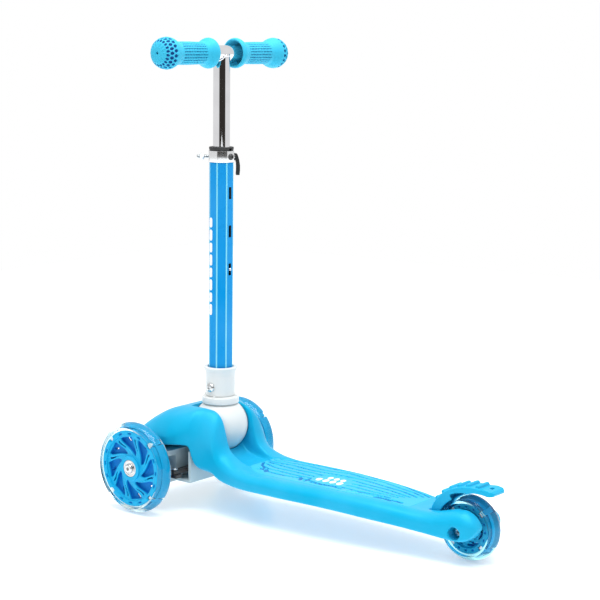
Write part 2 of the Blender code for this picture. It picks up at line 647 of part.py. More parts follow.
def add_lever():
    """The clamp's lever: two cam cheeks round the skewer's eye and a bowed blade that hangs down."""
    hinge = (LEVER_PIN_X, SKEWER_Y, SKEWER_HEIGHT)
    outline = arc((LEVER_PIN_X, SKEWER_HEIGHT), 4.6, -115.0, 95.0, 14)
    outline += [(-22.0, 358.2), (-24.2, 351.3), (-25.5, 343.3), (-25.5, 336.8), (-24.9, 330.5)]
    outline += [(-20.4, 330.5), (-20.9, 337.8), (-20.7, 345.8)]
    blade = prism(outline, "Y", SKEWER_Y - 7.0, SKEWER_Y + 7.0)
    lever = add_mesh("clamp_lever", *blade, LOOKS["black_plastic"], CLAMP, hinge)
    eye_room = box((-21.9, SKEWER_Y - 2.85, 350.0), (-8.0, SKEWER_Y + 2.85, 370.0))
    pin_hole = turned(rod(LEVER_PIN_RADIUS + GAP, -9.0, 9.0), "Y", hinge, 12)
    cut(lever, eye_room, pin_hole, frame=CLAMP)
    pin = turned(rod(LEVER_PIN_RADIUS, -7.6, 7.6), "Y", hinge, 12)
    add_mesh("lever_pin", *pin, LOOKS["zinc"], CLAMP, hinge)


def grip_outline(side):
    """A grip's section: an open bell at the inner end, a slim body and a domed outer end."""
    shape = [(10.35, 114.4), (2.5, 114.4), (2.5, GRIP_OUTER), (9.0, GRIP_OUTER), (16.0, 115.5)]
    shape += [(19.4, 109.5), (20.2, 102.5), (18.6, 94.5), (14.5, 88.0), (14.5, 60.0), (14.0, 38.0)]
    shape += [(18.8, 30.0), (19.5, 25.0), (18.8, GRIP_INNER), (15.6, GRIP_INNER), (10.35, 34.0)]
    return [(radius, side * along) for radius, along in shape]


def add_handlebar():
    upright = turned(pipe(STEM_BORE, STEM_RADIUS, 100.0, BAR_HEIGHT - 1.0), "Z")
    stem = add_mesh("stem_tube", *upright, LOOKS["chrome"], STEM)
    across = turned(rod(BAR_RADIUS + GAP, -30.0, 30.0), "X", (0.0, 0.0, BAR_HEIGHT), 24)
    cut(stem, across, frame=STEM)
    cut(stem, turned(rod(2.0 + GAP, 4.0, 20.0), "Y", (0.0, 0.0, BUTTON_HEIGHT), 12), frame=STEM)
    bar = turned(pipe(8.2, BAR_RADIUS, -BAR_HALF, BAR_HALF), "X", (0.0, 0.0, BAR_HEIGHT), 24)
    add_mesh("crossbar", *bar, LOOKS["chrome"], STEM)
    foot = turned(pipe(STEM_RADIUS + GAP, 12.85, 92.0, 116.0), "Z", sides=24)
    add_mesh("stem_bush", *foot, LOOKS["black_plastic"], STEM)
    for side, word in ((1.0, "left"), (-1.0, "right")):
        shape = turned(grip_outline(side), "X", (0.0, 0.0, BAR_HEIGHT), 24)
        add_mesh("grip_" + word, *shape, LOOKS["grip_blue"], STEM)
    button = ((0.0, 17.6), (1.2, 17.3), (2.0, 16.2), (2.0, 9.0), (3.4, 8.2), (3.4, 7.2), (0.0, 7.2))
    middle = (0.0, 0.0, BUTTON_HEIGHT)
    stud = turned(button, "Y", middle, 16)
    add_mesh("lock_button", *stud, LOOKS["zinc"], STEM, (0.0, 12.0, BUTTON_HEIGHT))
    leaf = ((-8.4, 185.0), (-7.0, 185.0), (6.4, 207.0), (6.4, 213.0), (5.6, 213.0), (-8.4, 188.0))
    add_mesh("button_spring", *prism(leaf, "X", -2.4, 2.4), LOOKS["zinc"], STEM)


# ---------------------------------------------------------------- assembly


def looks():
    """One finish for each kind of piece."""
    made = {name: material(name, colour, 0.35) for name, colour in BLUES.items()}
    made["white"] = material("white", (0.86, 0.88, 0.89), 0.4)
    made["housing_grey"] = material("housing_grey", (0.62, 0.68, 0.72), 0.45)
    made["black_steel"] = material("black_steel", (0.02, 0.02, 0.022), 0.4, 0.6)
    made["black_plastic"] = material("black_plastic", (0.02, 0.02, 0.02), 0.5)
    made["zinc"] = material("zinc", (0.6, 0.61, 0.62), 0.3, 1.0)
    made["steel"] = material("steel", (0.66, 0.66, 0.66), 0.25, 1.0)
    made["chrome"] = material("chrome", (0.85, 0.85, 0.86), 0.06, 1.0)
    made["aluminium"] = material("aluminium", (0.78, 0.79, 0.8), 0.28, 1.0)
    made["tyre_clear"] = material("tyre_clear", (0.45, 0.82, 0.96), 0.15, 0.0, 0.7)
    made["tyre_deep"] = material("tyre_deep", (0.10, 0.55, 0.88), 0.15, 0.0, 0.6)
    made["core_deep"] = material("core_deep", (0.0, 0.26, 0.66), 0.35)
    made["light_ring"] = material("light_ring", (0.8, 0.92, 0.98), 0.2, 0.0, 0.5)
    return made


for old in list(bpy.data.objects):
    bpy.data.objects.remove(old)
LOOKS = looks()
add_deck(LOOKS["deck_blue"])
add_truck()
for way, hand in ((1.0, "left"), (-1.0, "right")):
    add_knuckle(way, hand)
    add_front_bolt(way, hand)
    front_axle = (way * HALF_TRACK, FRONT_AXLE_Y, FRONT_RADIUS)
    add_wheel(hand, front_axle, FRONT_RADIUS, 8, "tyre_clear", "core_blue")
add_wheel("rear", (0.0, REAR_AXLE_Y, REAR_RADIUS), REAR_RADIUS, 6, "tyre_deep", "core_deep")
add_tie_rod()
add_rear_axle()
add_brake()
add_head()
add_lower_tube()
add_clamp_collar()
add_skewer()
add_lever()
add_handlebar()
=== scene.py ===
"""The finished look of the three-wheeled kick scooter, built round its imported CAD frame.

Lengths are in millimetres and become metres when a mesh is made. Wheel centres, pivots and the
stem's tilt are read from the frame. Heights along the stem count up from the middle of the ball.
"""

import json
import math

import bmesh
import bpy
import numpy as np
from mathutils import Matrix, Vector


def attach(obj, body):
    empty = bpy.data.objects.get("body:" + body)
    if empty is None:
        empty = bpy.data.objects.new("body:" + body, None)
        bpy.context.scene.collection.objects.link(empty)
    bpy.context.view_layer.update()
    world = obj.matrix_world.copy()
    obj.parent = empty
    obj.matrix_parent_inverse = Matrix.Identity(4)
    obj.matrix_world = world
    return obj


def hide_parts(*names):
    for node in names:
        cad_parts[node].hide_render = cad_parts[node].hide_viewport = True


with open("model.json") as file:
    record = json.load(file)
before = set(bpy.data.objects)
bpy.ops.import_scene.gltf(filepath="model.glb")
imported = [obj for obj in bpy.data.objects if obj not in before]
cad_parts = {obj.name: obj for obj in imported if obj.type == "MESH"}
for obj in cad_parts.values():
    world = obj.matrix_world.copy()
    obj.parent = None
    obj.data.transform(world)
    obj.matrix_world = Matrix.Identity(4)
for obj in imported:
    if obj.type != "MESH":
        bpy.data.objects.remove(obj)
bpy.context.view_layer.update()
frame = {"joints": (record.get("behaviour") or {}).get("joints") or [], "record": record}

MM = 0.001
RECORD = frame["record"]
BODY_OF = {node: body for body, nodes in RECORD["behaviour"]["bodies"].items() for node in nodes}
JOINTS = {joint["name"]: joint for joint in frame["joints"]}


def pivot(joint):
    """A joint's centre, in millimetres."""
    return Vector(JOINTS[joint]["pos_m"]) / MM


# Places that the frame gives
BALL_CENTRE = pivot("steer_lean")
FRONT_WHEELS = {"left": pivot("left_wheel_spin"), "right": pivot("right_wheel_spin")}
REAR_WHEEL = pivot("rear_wheel_spin")
BRAKE_PIN = pivot("brake_press")
FRONT_RADIUS = FRONT_WHEELS["left"].z
REAR_RADIUS = REAR_WHEEL.z
KINGPIN_X = pivot("left_steer").x
FRONT_AXLE_Y = FRONT_WHEELS["left"].y
UP_STEM = Vector(JOINTS["height_adjust"]["axis"])
WHEEL_HALF = 12.0

# The stem's own frame, and the clamp's, which is turned about the stem
WORLD = Matrix.Identity(4)
STEM = Matrix.Translation(BALL_CENTRE * MM) @ Matrix.Rotation(-math.atan2(UP_STEM.y, UP_STEM.z), 4, "X")
CLAMP = STEM @ Matrix.Rotation(math.radians(-45.0), 4, "Z")

# Heights along the stem and radii round it
BALL_RADIUS = 36.5
COLLAR_LOW, COLLAR_TOP = 30.0, 40.0
SOCKET_TOP, SOCKET_BOLT = 79.0, 52.0
TUBE_LOW, TUBE_TOP = 46.4, 349.0
CLAMP_TOP, FLANGE_TOP = 364.0, 369.0
BAR_HEIGHT = 489.0
BUTTON_HEIGHT, SLOT_PITCH, SLOT_COUNT = 209.5, 50.0, 4
TUBE_FLAT, TUBE_BORE = 15.5, 13.2
STEM_RADIUS, STEM_BORE = 11.0, 9.4
BAR_RADIUS, BAR_HALF = 10.0, 113.5
GRIP_INNER, GRIP_OUTER = 22.0, 119.5
SKEWER_Y, SKEWER_HEIGHT = -24.0, 354.5
SCREW_HEIGHT = 356.5
LEVER_PIN_X = -17.5
ARM_LENGTH = 42.0
PIN_HOLE_RADIUS = 3.35
GAP = 0.35

# Deck stations from front to rear: (y, half width, ridge height, underside height)
DECK_STATIONS = (
    (-264.0, 52.0, 79.0, 64.0),
    (-259.0, 61.0, 91.0, 60.0),
    (-250.0, 69.0, 101.5, 60.0),
    (-246.0, 71.5, 106.0, 81.5),
    (-230.0, 76.0, 120.5, 83.5),
    (-210.0, 77.0, 130.0, 85.5),
    (-190.0, 77.0, 134.0, 87.5),
    (-178.0, 73.0, 135.0, 88.0),
    (-167.0, 66.0, 135.0, 87.0),
    (-162.0, 62.5, 134.8, 84.0),
    (-158.0, 60.0, 134.5, 66.0),
    (-154.0, 58.0, 134.2, 57.0),
    (-150.0, 56.5, 133.8, 54.5),
    (-143.0, 54.5, 132.2, 53.0),
    (-136.0, 53.5, 128.5, 51.5),
    (-130.0, 53.2, 120.5, 50.0),
    (-126.0, 53.2, 106.0, 48.5),
    (-121.5, 53.4, 90.0, 47.5),
    (-115.0, 54.0, 80.5, 46.2),
    (-107.0, 55.0, 75.0, 45.2),
    (-98.0, 56.5, 70.5, 44.4),
    (-87.0, 58.0, 67.0, 43.6),
    (-75.0, 59.0, 65.0, 43.2),
    (-60.0, 59.5, 63.8, 43.0),
    (-20.0, 59.5, 63.8, 42.8),
    (30.0, 57.8, 63.8, 42.4),
    (70.0, 54.6, 63.2, 41.0),
    (110.0, 50.6, 62.0, 38.6),
    (140.0, 47.0, 60.2, 36.8),
    (165.0, 43.5, 58.0, 35.0),
    (188.0, 40.5, 56.8, 33.0),
    (204.0, 38.8, 58.0, 31.6),
    (220.0, 37.6, 62.0, 30.2),
    (234.0, 37.0, 65.2, 29.6),
    (244.0, 36.2, 65.4, 29.8),
    (252.0, 34.6, 63.0, 32.0),
    (258.5, 31.8, 59.0, 36.0),
    (262.5, 28.0, 54.5, 41.0),
    (265.2, 23.5, 50.0, 46.0),
)
CHANNEL = (
    (-167.0, 120.0),
    (-130.0, 72.0),
    (-121.5, 68.0),
    (-107.0, 65.0),
    (-98.0, 64.2),
    (-87.0, 64.0),
)


def clamp(value, low=0.0, high=1.0):
    """The value kept between two limits."""
    return min(max(value, low), high)


def ease(value):
    """0 below 0, 1 above 1 and a smooth rise between."""
    share = clamp(value)
    return share * share * (3.0 - 2.0 * share)


# ---------------------------------------------------------------- materials


LOOKS = {}
PLAIN = (1.0, 1.0, 1.0)
AQUA = (0.12, 0.75, 1.0)


def new_look(name, colour, roughness, metallic=0.0, **sockets):
    """Adds a finish to LOOKS. Its Principled shader holds its steady values."""
    look = bpy.data.materials.new(name)
    look.use_nodes = True
    shader = look.node_tree.nodes["Principled BSDF"]
    shader.inputs["Base Color"].default_value = (*colour, 1.0)
    shader.inputs["Roughness"].default_value = roughness
    shader.inputs["Metallic"].default_value = metallic
    for socket, value in sockets.items():
        shader.inputs[socket.replace("_", " ")].default_value = value
    look.diffuse_color = (*colour, 1.0)
    LOOKS[name] = look
    return look.node_tree, shader


def noise(tree, scale, detail=3.0, stretch=(1.0, 1.0, 1.0)):
    """Noise in the object's own space: scale is in cells per metre, and stretch draws it out."""
    place = tree.nodes.new("ShaderNodeTexCoord")
    mapping = tree.nodes.new("ShaderNodeMapping")
    mapping.inputs["Scale"].default_value = stretch
    made = tree.nodes.new("ShaderNodeTexNoise")
    made.inputs["Scale"].default_value = scale
    made.inputs["Detail"].default_value = detail
    tree.links.new(place.outputs["Object"], mapping.inputs["Vector"])
    tree.links.new(mapping.outputs["Vector"], made.inputs["Vector"])
    return made.outputs["Fac"]


def vary(tree, source, low, high, target):
    """Runs a socket between two values by a noise."""
    spread = tree.nodes.new("ShaderNodeMapRange")
    spread.inputs["From Min"].default_value = 0.3
    spread.inputs["From Max"].default_value = 0.7
    spread.inputs["To Min"].default_value = low
    spread.inputs["To Max"].default_value = high
    tree.links.new(source, spread.inputs["Value"])
    tree.links.new(spread.outputs["Result"], target)


def tint(tree, source, first, second, target):
    """Runs a colour socket between two colours by a noise."""
    ramp = tree.nodes.new("ShaderNodeValToRGB")
    ramp.color_ramp.elements[0].position = 0.3
    ramp.color_ramp.elements[1].position = 0.7
    ramp.color_ramp.elements[0].color = (*first, 1.0)
    ramp.color_ramp.elements[1].color = (*second, 1.0)
    tree.links.new(source, ramp.inputs["Fac"])
    tree.links.new(ramp.outputs["Color"], target)


def emboss(tree, source, depth, shader, strength=1.0):
    """Raises the surface by a noise. depth is in metres."""
    bump = tree.nodes.new("ShaderNodeBump")
    bump.inputs["Strength"].default_value = strength
    bump.inputs["Distance"].default_value = depth
    tree.links.new(source, bump.inputs["Height"])
    tree.links.new(bump.outputs["Normal"], shader.inputs["Normal"])


def moulded(name, colour, roughness, mottle=0.05, skin=1400.0, depth=0.00002, sheen=PLAIN, **sockets):
    """Injection-moulded plastic: a fine spark-eroded skin over slow drifts of colour and gloss."""
    tree, shader = new_look(name, colour, roughness, **sockets)
    shader.inputs["Specular Tint"].default_value = (*sheen, 1.0)
    slow = noise(tree, 18.0, 2.0)
    darker = [value * (1.0 - mottle) for value in colour]
    lighter = [value + (1.0 - value) * mottle * 0.4 for value in colour]
    tint(tree, slow, darker, lighter, shader.inputs["Base Color"])
    vary(tree, noise(tree, 60.0), roughness - 0.04, roughness + 0.06, shader.inputs["Roughness"])
    emboss(tree, noise(tree, skin), depth, shader)


def drawn_metal(name, colour, roughness, stretch, scale=900.0, spread=0.08, depth=0.000006, **sockets):
    """Metal with fine lines left by drawing, turning or brushing, drawn out along one axis."""
    tree, shader = new_look(name, colour, roughness, 1.0, **sockets)
    lines = noise(tree, scale, 2.0, stretch)
    vary(tree, lines, max(roughness - spread, 0.02), roughness + spread, shader.inputs["Roughness"])
    tint(tree, noise(tree, 40.0), [v * 0.92 for v in colour], colour, shader.inputs["Base Color"])
    emboss(tree, lines, depth, shader)


def clear_urethane(name, colour):
    """Cast polyurethane: clear, faintly tinted, with slow ripples in its poured surface."""
    tree, shader = new_look(name, colour, 0.06, Transmission_Weight=1.0, IOR=1.33)
    vary(tree, noise(tree, 70.0), 0.03, 0.12, shader.inputs["Roughness"])
    emboss(tree, noise(tree, 45.0, 1.0), 0.00006, shader)


def make_looks():
    """Every finish on the scooter."""
    moulded("deck_blue", (0.0, 0.40, 0.68), 0.36, sheen=AQUA, Specular_IOR_Level=0.6)
    moulded("tread_blue", (0.01, 0.46, 0.76), 0.36, sheen=AQUA, Specular_IOR_Level=0.7)
    # painted shade: a darker blue for the tread's grooves, standing in for the shade in them
    moulded("groove_shade_blue", (0.0, 0.17, 0.46), 0.5, sheen=AQUA, Specular_IOR_Level=0.2)
    moulded("core_blue", (0.0, 0.40, 0.74), 0.35, sheen=AQUA, Specular_IOR_Level=0.5)
    # painted shade: a deeper blue for the floors of the wheel cores' windows and dashes
    moulded("window_shade_blue", (0.0, 0.20, 0.62), 0.45, sheen=AQUA, Specular_IOR_Level=0.3)
    # painted shade: a darker copy of the core blue for the rear wheel, which sits in shade under the deck
    moulded("core_deep", (0.0, 0.28, 0.52), 0.35, sheen=AQUA, Specular_IOR_Level=0.5)
    moulded("tube_blue", (0.0, 0.28, 0.70), 0.3, skin=700.0, sheen=AQUA, Specular_IOR_Level=0.4)
    # painted highlight: a paler blue for the tube's rounded corners, where the light catches them
    moulded("tube_edge_highlight", (0.20, 0.68, 0.82), 0.22, skin=700.0)
    moulded("grip_blue", (0.035, 0.48, 0.72), 0.5, skin=1100.0, depth=0.00003, sheen=AQUA)
    # painted shade: a dark blue for the grips' dimples and dots
    moulded("dimple_shade_blue", (0.0, 0.05, 0.26), 0.6, skin=1100.0, sheen=AQUA)
    moulded("white", (0.74, 0.77, 0.77), 0.38, mottle=0.02)
    moulded("mark_white", (0.86, 0.88, 0.90), 0.5, mottle=0.02)
    moulded("light_white", (0.86, 0.92, 0.95), 0.25, mottle=0.03)
    moulded("housing_grey", (0.50, 0.62, 0.66), 0.45, mottle=0.04)
    # black plastic for the bushes, cam seat and lever, and painted shade for the lower tube's bore
    moulded("black_plastic", (0.003, 0.003, 0.004), 0.4, mottle=0.2, Specular_IOR_Level=0.15)
    moulded("black_steel", (0.006, 0.006, 0.007), 0.3, mottle=0.3, skin=500.0, Specular_IOR_Level=0.3)
    drawn_metal("zinc", (0.66, 0.68, 0.69), 0.26, (1.0, 1.0, 1.0), 400.0)
    drawn_metal("steel", (0.62, 0.62, 0.62), 0.22, (8.0, 1.0, 1.0), 700.0)
    drawn_metal("chrome", (0.88, 0.88, 0.90), 0.05, (1.0, 1.0, 0.02), 600.0, 0.02, 0.000001)
    drawn_metal("aluminium", (0.84, 0.85, 0.86), 0.24, (0.1, 0.1, 6.0), 500.0)
    clear_urethane("tyre_clear", (0.80, 0.98, 1.0))
    clear_urethane("tyre_deep", (0.45, 0.90, 1.0))
    glow = {"Emission_Color": (0.96, 0.99, 1.0, 1.0), "Emission_Strength": 0.34}
    moulded("floor_white", (0.92, 0.94, 0.95), 0.25, 0.004, 200.0, 0.0000003, **glow)


# ---------------------------------------------------------------- mesh making


def build(name, shape, looks, place=WORLD, angle=35.0):
    """A named object from points in millimetres and faces. looks is one finish or several."""
    mesh = bpy.data.meshes.new(name)
    mesh.from_pydata([Vector(point) * MM for point in shape[0]], [], shape[1])
    mesh.transform(place)
    tidy = bmesh.new()
    tidy.from_mesh(mesh)
    bmesh.ops.recalc_face_normals(tidy, faces=tidy.faces)
    tidy.to_mesh(mesh)
    tidy.free()
    piece = bpy.data.objects.new(name, mesh)
    bpy.context.scene.collection.objects.link(piece)
    for look in [looks] if isinstance(looks, str) else looks:
        mesh.materials.append(LOOKS[look])
    shade(piece, angle)
    return piece


def shade(piece, angle=35.0):
    """Smooth shading with sharp edges above an angle."""
    piece.data.shade_smooth()
    piece.data.set_sharp_from_angle(angle=math.radians(angle))


def settle(piece, angle=35.0):
    """Turns the piece's modifiers into its mesh."""
    bpy.context.view_layer.update()
    graph = bpy.context.evaluated_depsgraph_get()
    finished = bpy.data.meshes.new_from_object(piece.evaluated_get(graph))
    looks = list(piece.data.materials)
    helpers = [change.object for change in piece.modifiers if change.type == "BOOLEAN"]
    piece.modifiers.clear()
    piece.data = finished
    finished.materials.clear()
    for look in looks:
        finished.materials.append(look)
    for helper in helpers:
        bpy.data.objects.remove(helper)
    shade(piece, angle)
    return piece


def combine(piece, shape, operation, place=WORLD):
    """Queues a Boolean with a shape. settle applies it."""
    helper = build("helper", shape, [], place)
    helper.hide_render = True
    change = piece.modifiers.new("combine", "BOOLEAN")
    change.operation = operation
    change.object = helper
    change.solver = "MANIFOLD"


def cut(piece, *shapes, place=WORLD):
    """Takes shapes away from a piece."""
    for shape in shapes:
        combine(piece, shape, "DIFFERENCE", place)


def join(piece, *shapes, place=WORLD):
    """Adds shapes to a piece."""
    for shape in shapes:
        combine(piece, shape, "UNION", place)


def soften(piece, voxel, passes=4, angle=60.0):
    """Rebuilds a piece in small even faces and eases its edges, as a mould's radii do."""
    settle(piece)
    remesh = piece.modifiers.new("remesh", "REMESH")
    remesh.mode = "VOXEL"
    remesh.voxel_size = voxel * MM
    relax = piece.modifiers.new("relax", "SMOOTH")
    relax.factor = 0.5
    relax.iterations = passes
    return settle(piece, angle)


def bevelled(piece, width, segments=2, angle=30.0):
    """Small rounds along a piece's sharp edges."""
    settle(piece)
    bevel = piece.modifiers.new("bevel", "BEVEL")
    bevel.width = width * MM
    bevel.segments = segments
    bevel.limit_method = "ANGLE"
    bevel.angle_limit = math.radians(angle)
    bevel.use_clamp_overlap = True
    bevel.miter_outer = "MITER_ARC"
    return settle(piece, 40.0)


def stands_for(piece, *nodes):
    """The piece moves with the first node's body and hides the nodes."""
    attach(piece, BODY_OF[nodes[0]])
    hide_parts(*nodes)
    return piece


def goes_with(piece, node):
    """A detail that moves with a node's body, and replaces nothing."""
    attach(piece, BODY_OF[node])
    return piece


AXES = {
    "X": lambda radius, angle, along: (along, radius * math.cos(angle), radius * math.sin(angle)),
    "Y": lambda radius, angle, along: (radius * math.cos(angle), along, radius * math.sin(angle)),
    "Z": lambda radius, angle, along: (radius * math.cos(angle), radius * math.sin(angle), along),
}


def rounded(outline, reach, steps=3, poles=False):
    """An outline with each corner rounded. With poles, corners on the axis stay as they are."""
    found = []
    count = len(outline)
    for number, corner in enumerate(outline):
        if poles and abs(corner[0]) < 1e-6:
            found.append(tuple(corner))
            continue
        here = Vector(corner)
        before = Vector(outline[number - 1]) - here
        after = Vector(outline[(number + 1) % count]) - here
        start = here + before.normalized() * min(reach, 0.42 * before.length)
        end = here + after.normalized() * min(reach, 0.42 * after.length)
        for step in range(steps + 1):
            t = step / steps
            found.append(tuple(start * (1 - t) ** 2 + here * (2 * t * (1 - t)) + end * t ** 2))
    return found


def dense(outline, longest):
    """An outline with its long sides cut into short ones."""
    found = []
    for here, there in zip(outline, outline[1:] + outline[:1]):
        a, b = Vector(here), Vector(there)
        pieces = max(1, math.ceil((b - a).length / longest))
        found += [tuple(a.lerp(b, step / pieces)) for step in range(pieces)]
    return found


def turned(profile, axis="Z", centre=(0.0, 0.0, 0.0), sides=64, turn=0.0, relief=None):
    """Points and faces of a closed (radius, along) outline spun round an axis. Radius 0 is a pole.
    relief gives how far a point at (radius, along, angle) is pushed out."""
    points, faces, rings = [], [], []
    for radius, along in profile:
        count = 1 if radius == 0.0 else sides
        rings.append(range(len(points), len(points) + count))
        for step in range(count):
            angle = turn + 2.0 * math.pi * step / sides
            reach = radius + (relief(radius, along, angle) if relief else 0.0)
            spot = AXES[axis](reach, angle, along)
            points.append((spot[0] + centre[0], spot[1] + centre[1], spot[2] + centre[2]))
    for here, there in zip(rings, rings[1:] + rings[:1]):
        for step in range(sides):
            after = (step + 1) % sides
            corners = [here[step % len(here)], here[after % len(here)]]
            corners += [there[after % len(there)], there[step % len(there)]]
            corners = list(dict.fromkeys(corners))
            if len(corners) > 2:
                faces.append(corners)
    return points, faces


def pipe(inner, outer, low, high):
    """The (radius, along) outline of a tube."""
    return [(outer, high), (outer, low), (inner, low), (inner, high)]


def rod(radius, low, high):
    """The (radius, along) outline of a round bar."""
    return [(0.0, high), (radius, high), (radius, low), (0.0, low)]


def prism(outline, axis, low, high):
    """An outline of pairs pushed along an axis. The pairs are (y, z), (x, z) or (x, y)."""
    order = {"X": lambda a, b, c: (c, a, b), "Y": lambda a, b, c: (a, c, b), "Z": lambda a, b, c: (a, b, c)}
    place = order[axis]
    count = len(outline)
    points = [place(a, b, low) for a, b in outline] + [place(a, b, high) for a, b in outline]
    faces = [tuple(range(count)), tuple(range(2 * count - 1, count - 1, -1))]
    faces += [(i, (i + 1) % count, (i + 1) % count + count, i + count) for i in range(count)]
    return points, faces


def box(low, high):
    """A block between two corners."""
    outline = ((low[0], low[1]), (high[0], low[1]), (high[0], high[1]), (low[0], high[1]))
    return prism(outline, "Z", low[2], high[2])


def arc(centre, radius, start, end, steps):
    """Points along an arc, in degrees from the first axis of the pair to the second."""
    found = []
    for step in range(steps + 1):
        angle = math.radians(start + (end - start) * step / steps)
        found.append((centre[0] + radius * math.cos(angle), centre[1] + radius * math.sin(angle)))
    return found


def stadium(centre, half_width, half_height, steps=10):
    """A tall slot's outline with round ends."""
    rise = half_height - half_width
    top = arc((centre[0], centre[1] + rise), half_width, 0.0, 180.0, steps)
    return top + arc((centre[0], centre[1] - rise), half_width, 180.0, 360.0, steps)


def octagon(flat):
    """The corners of an octagon whose flats are this far from its middle."""
    return arc((0.0, 0.0), flat / math.cos(math.radians(22.5)), 22.5, 337.5, 7)


def swept(path, radius, sides=8, closed=False):
    """Points and faces of a tube of changing radius along a path. radius may be a function of the share."""
    points, faces = [], []
    count = len(path)
    for number, spot in enumerate(path):
        before = Vector(path[number - 1] if number or closed else path[0])
        after = Vector(path[(number + 1) % count] if number < count - 1 or closed else path[-1])
        along = (after - before).normalized()
        side = along.orthogonal() if abs(along.z) > 0.9 else along.cross(Vector((0.0, 0.0, 1.0))).normalized()
        side.normalize()
        over = along.cross(side)
        reach = radius(number / count) if callable(radius) else radius
        for step in range(sides):
            angle = 2.0 * math.pi * step / sides
            points.append(tuple(Vector(spot) + (side * math.cos(angle) + over * math.sin(angle)) * reach))
    rings = count if closed else count - 1
    for ring in range(rings):
        for step in range(sides):
            a, b = ring * sides + step, ring * sides + (step + 1) % sides
            c, d = ((ring + 1) % count) * sides + (step + 1) % sides, ((ring + 1) % count) * sides + step
            faces.append((a, b, c, d))
    if not closed:
        faces.append(tuple(range(sides)))
        faces.append(tuple(range((count - 1) * sides, count * sides)))
    return points, faces


# ---------------------------------------------------------------- deck


def slopes(keys, values):
    """Slopes that make a smooth curve through a table with no overshoot."""
    steps = [(b - a) / (y - x) for x, y, a, b in zip(keys, keys[1:], values, values[1:])]
    found = [steps[0]]
    for left, right in zip(steps, steps[1:]):
        found.append(0.0 if left * right <= 0.0 else 2.0 * left * right / (left + right))
    return found + [steps[-1]]


def through(keys, values):
    """A smooth function through a table."""
    rates = slopes(keys, values)

    def read(x):
        row = max(i for i in range(len(keys) - 1) if keys[i] <= x or i == 0)
        width = keys[row + 1] - keys[row]
        t = clamp((x - keys[row]) / width)
        start, end = values[row], values[row + 1]
        leave, arrive = rates[row] * width, rates[row + 1] * width
        bend = (2 * t ** 3 - 3 * t ** 2 + 1) * start + (t ** 3 - 2 * t ** 2 + t) * leave
        return bend + (3 * t ** 2 - 2 * t ** 3) * end + (t ** 3 - t ** 2) * arrive

    return read


STATION_Y = [station[0] for station in DECK_STATIONS]
DECK_HALF = through(STATION_Y, [station[1] for station in DECK_STATIONS])
DECK_RIDGE = through(STATION_Y, [station[2] for station in DECK_STATIONS])
DECK_UNDER = through(STATION_Y, [station[3] for station in DECK_STATIONS])
CHANNEL_FLOOR = through([row[0] for row in CHANNEL], [row[1] for row in CHANNEL])


def station_at(y):
    """The deck's half width, ridge, underside and channel floor at y."""
    floor = CHANNEL_FLOOR(y) if CHANNEL[0][0] <= y <= CHANNEL[-1][0] else 1000.0
    return DECK_HALF(y), DECK_RIDGE(y), DECK_UNDER(y), floor


def deck_top(x, station):
    """The height of the deck's upper surface."""
    half, ridge, under, floor = station
    droop = 27.0 * clamp((abs(x) - 30.0) / 47.0) ** 2 * clamp((ridge - 100.0) / 35.0)
    crown = ridge - droop
    lobe = ease((abs(x) - 20.5) / 7.0)
    crown = min(crown, floor + (crown - floor) * lobe)
    depth = crown - under
    reach = 13.0 + 0.2 * depth
    edge = clamp((abs(x) - half + reach) / reach)
    return crown - 0.5 * depth * (1.0 - math.sqrt(1.0 - edge ** 2))


def deck_under(x, station):
    """The height of the deck's lower surface."""
    half, ridge, under = station[:3]
    reach = 6.0 + 12.0 * clamp((ridge - 75.0) / 40.0)
    edge = clamp((abs(x) - half + reach) / reach)
    return under + 0.3 * (deck_top(half, station) - under) * (1.0 - math.sqrt(1.0 - edge ** 2))


def border(rows, across):
    """The edges round a grid of points, as pairs of point numbers."""
    rim = list(range(across))
    rim += [row * across + across - 1 for row in range(1, rows)]
    rim += [(rows - 1) * across + column for column in range(across - 2, -1, -1)]
    rim += [row * across for row in range(rows - 2, 0, -1)]
    return zip(rim, rim[1:] + rim[:1])


def grid_faces(rows, across, start=0, flipped=False):
    """The faces of a grid of points, row by row."""
    faces = []
    for row in range(rows - 1):
        for column in range(across - 1):
            a = start + row * across + column
            quad = (a, a + 1, a + across + 1, a + across)
            faces.append(quad[::-1] if flipped else quad)
    return faces


def slab_faces(rows, across):
    """The faces of a slab whose upper grid of points comes first and whose lower grid comes second."""
    count = rows * across
    faces = grid_faces(rows, across) + grid_faces(rows, across, count, True)
    return faces + [(there, here, count + here, count + there) for here, there in border(rows, across)]


def deck_body(rows=260, half_columns=36):
    """The one-piece deck, neck and front wings, lofted from its stations."""
    first, last = STATION_Y[0], STATION_Y[-1]
    steps = range(-half_columns, half_columns + 1)
    columns = [math.sin(0.5 * math.pi * step / half_columns) for step in steps]
    points = []
    for height in (deck_top, deck_under):
        for row in range(rows):
            y = first + (last - first) * row / (rows - 1)
            station = station_at(y)
            for column in columns:
                x = column * station[0]
                points.append((x, y, height(x, station)))
    return points, slab_faces(rows, len(columns))


def ball_outline(radius, low, high, steps=12):
    """Half of a ball, from its top pole to its bottom one, as (radius, along)."""
    found = []
    for step in range(steps + 1):
        angle = math.radians(high + (low - high) * step / steps)
        across = radius * math.cos(angle)
        found.append((0.0 if across < 1e-6 else across, radius * math.sin(angle)))
    return found


def collar_sweep():
    """The fan that the collar sweeps through as the ball swings about its pin."""
    centre = (BALL_CENTRE.x, BALL_CENTRE.z)
    outline = [centre] + arc(centre, 48.0, 41.5, 138.5, 24)
    return prism(outline, "Y", BALL_CENTRE.y - 26.0, BALL_CENTRE.y + 40.0)


def underside_pockets():
    """The hollows between the deck's stiffening ribs."""
    found = []
    length, rib, start = 44.0, 4.0, -72.0
    for row in range(5):
        low = start + row * (length + rib)
        widest = 57.0 - 0.064 * (row * (length + rib)) - 9.0 - 0.6 * row
        for side in (-1.0, 1.0):
            near, far = sorted((side * rib / 2.0, side * widest))
            found.append(box((near, low, 20.0), (far, low + length, 53.0)))
    return found


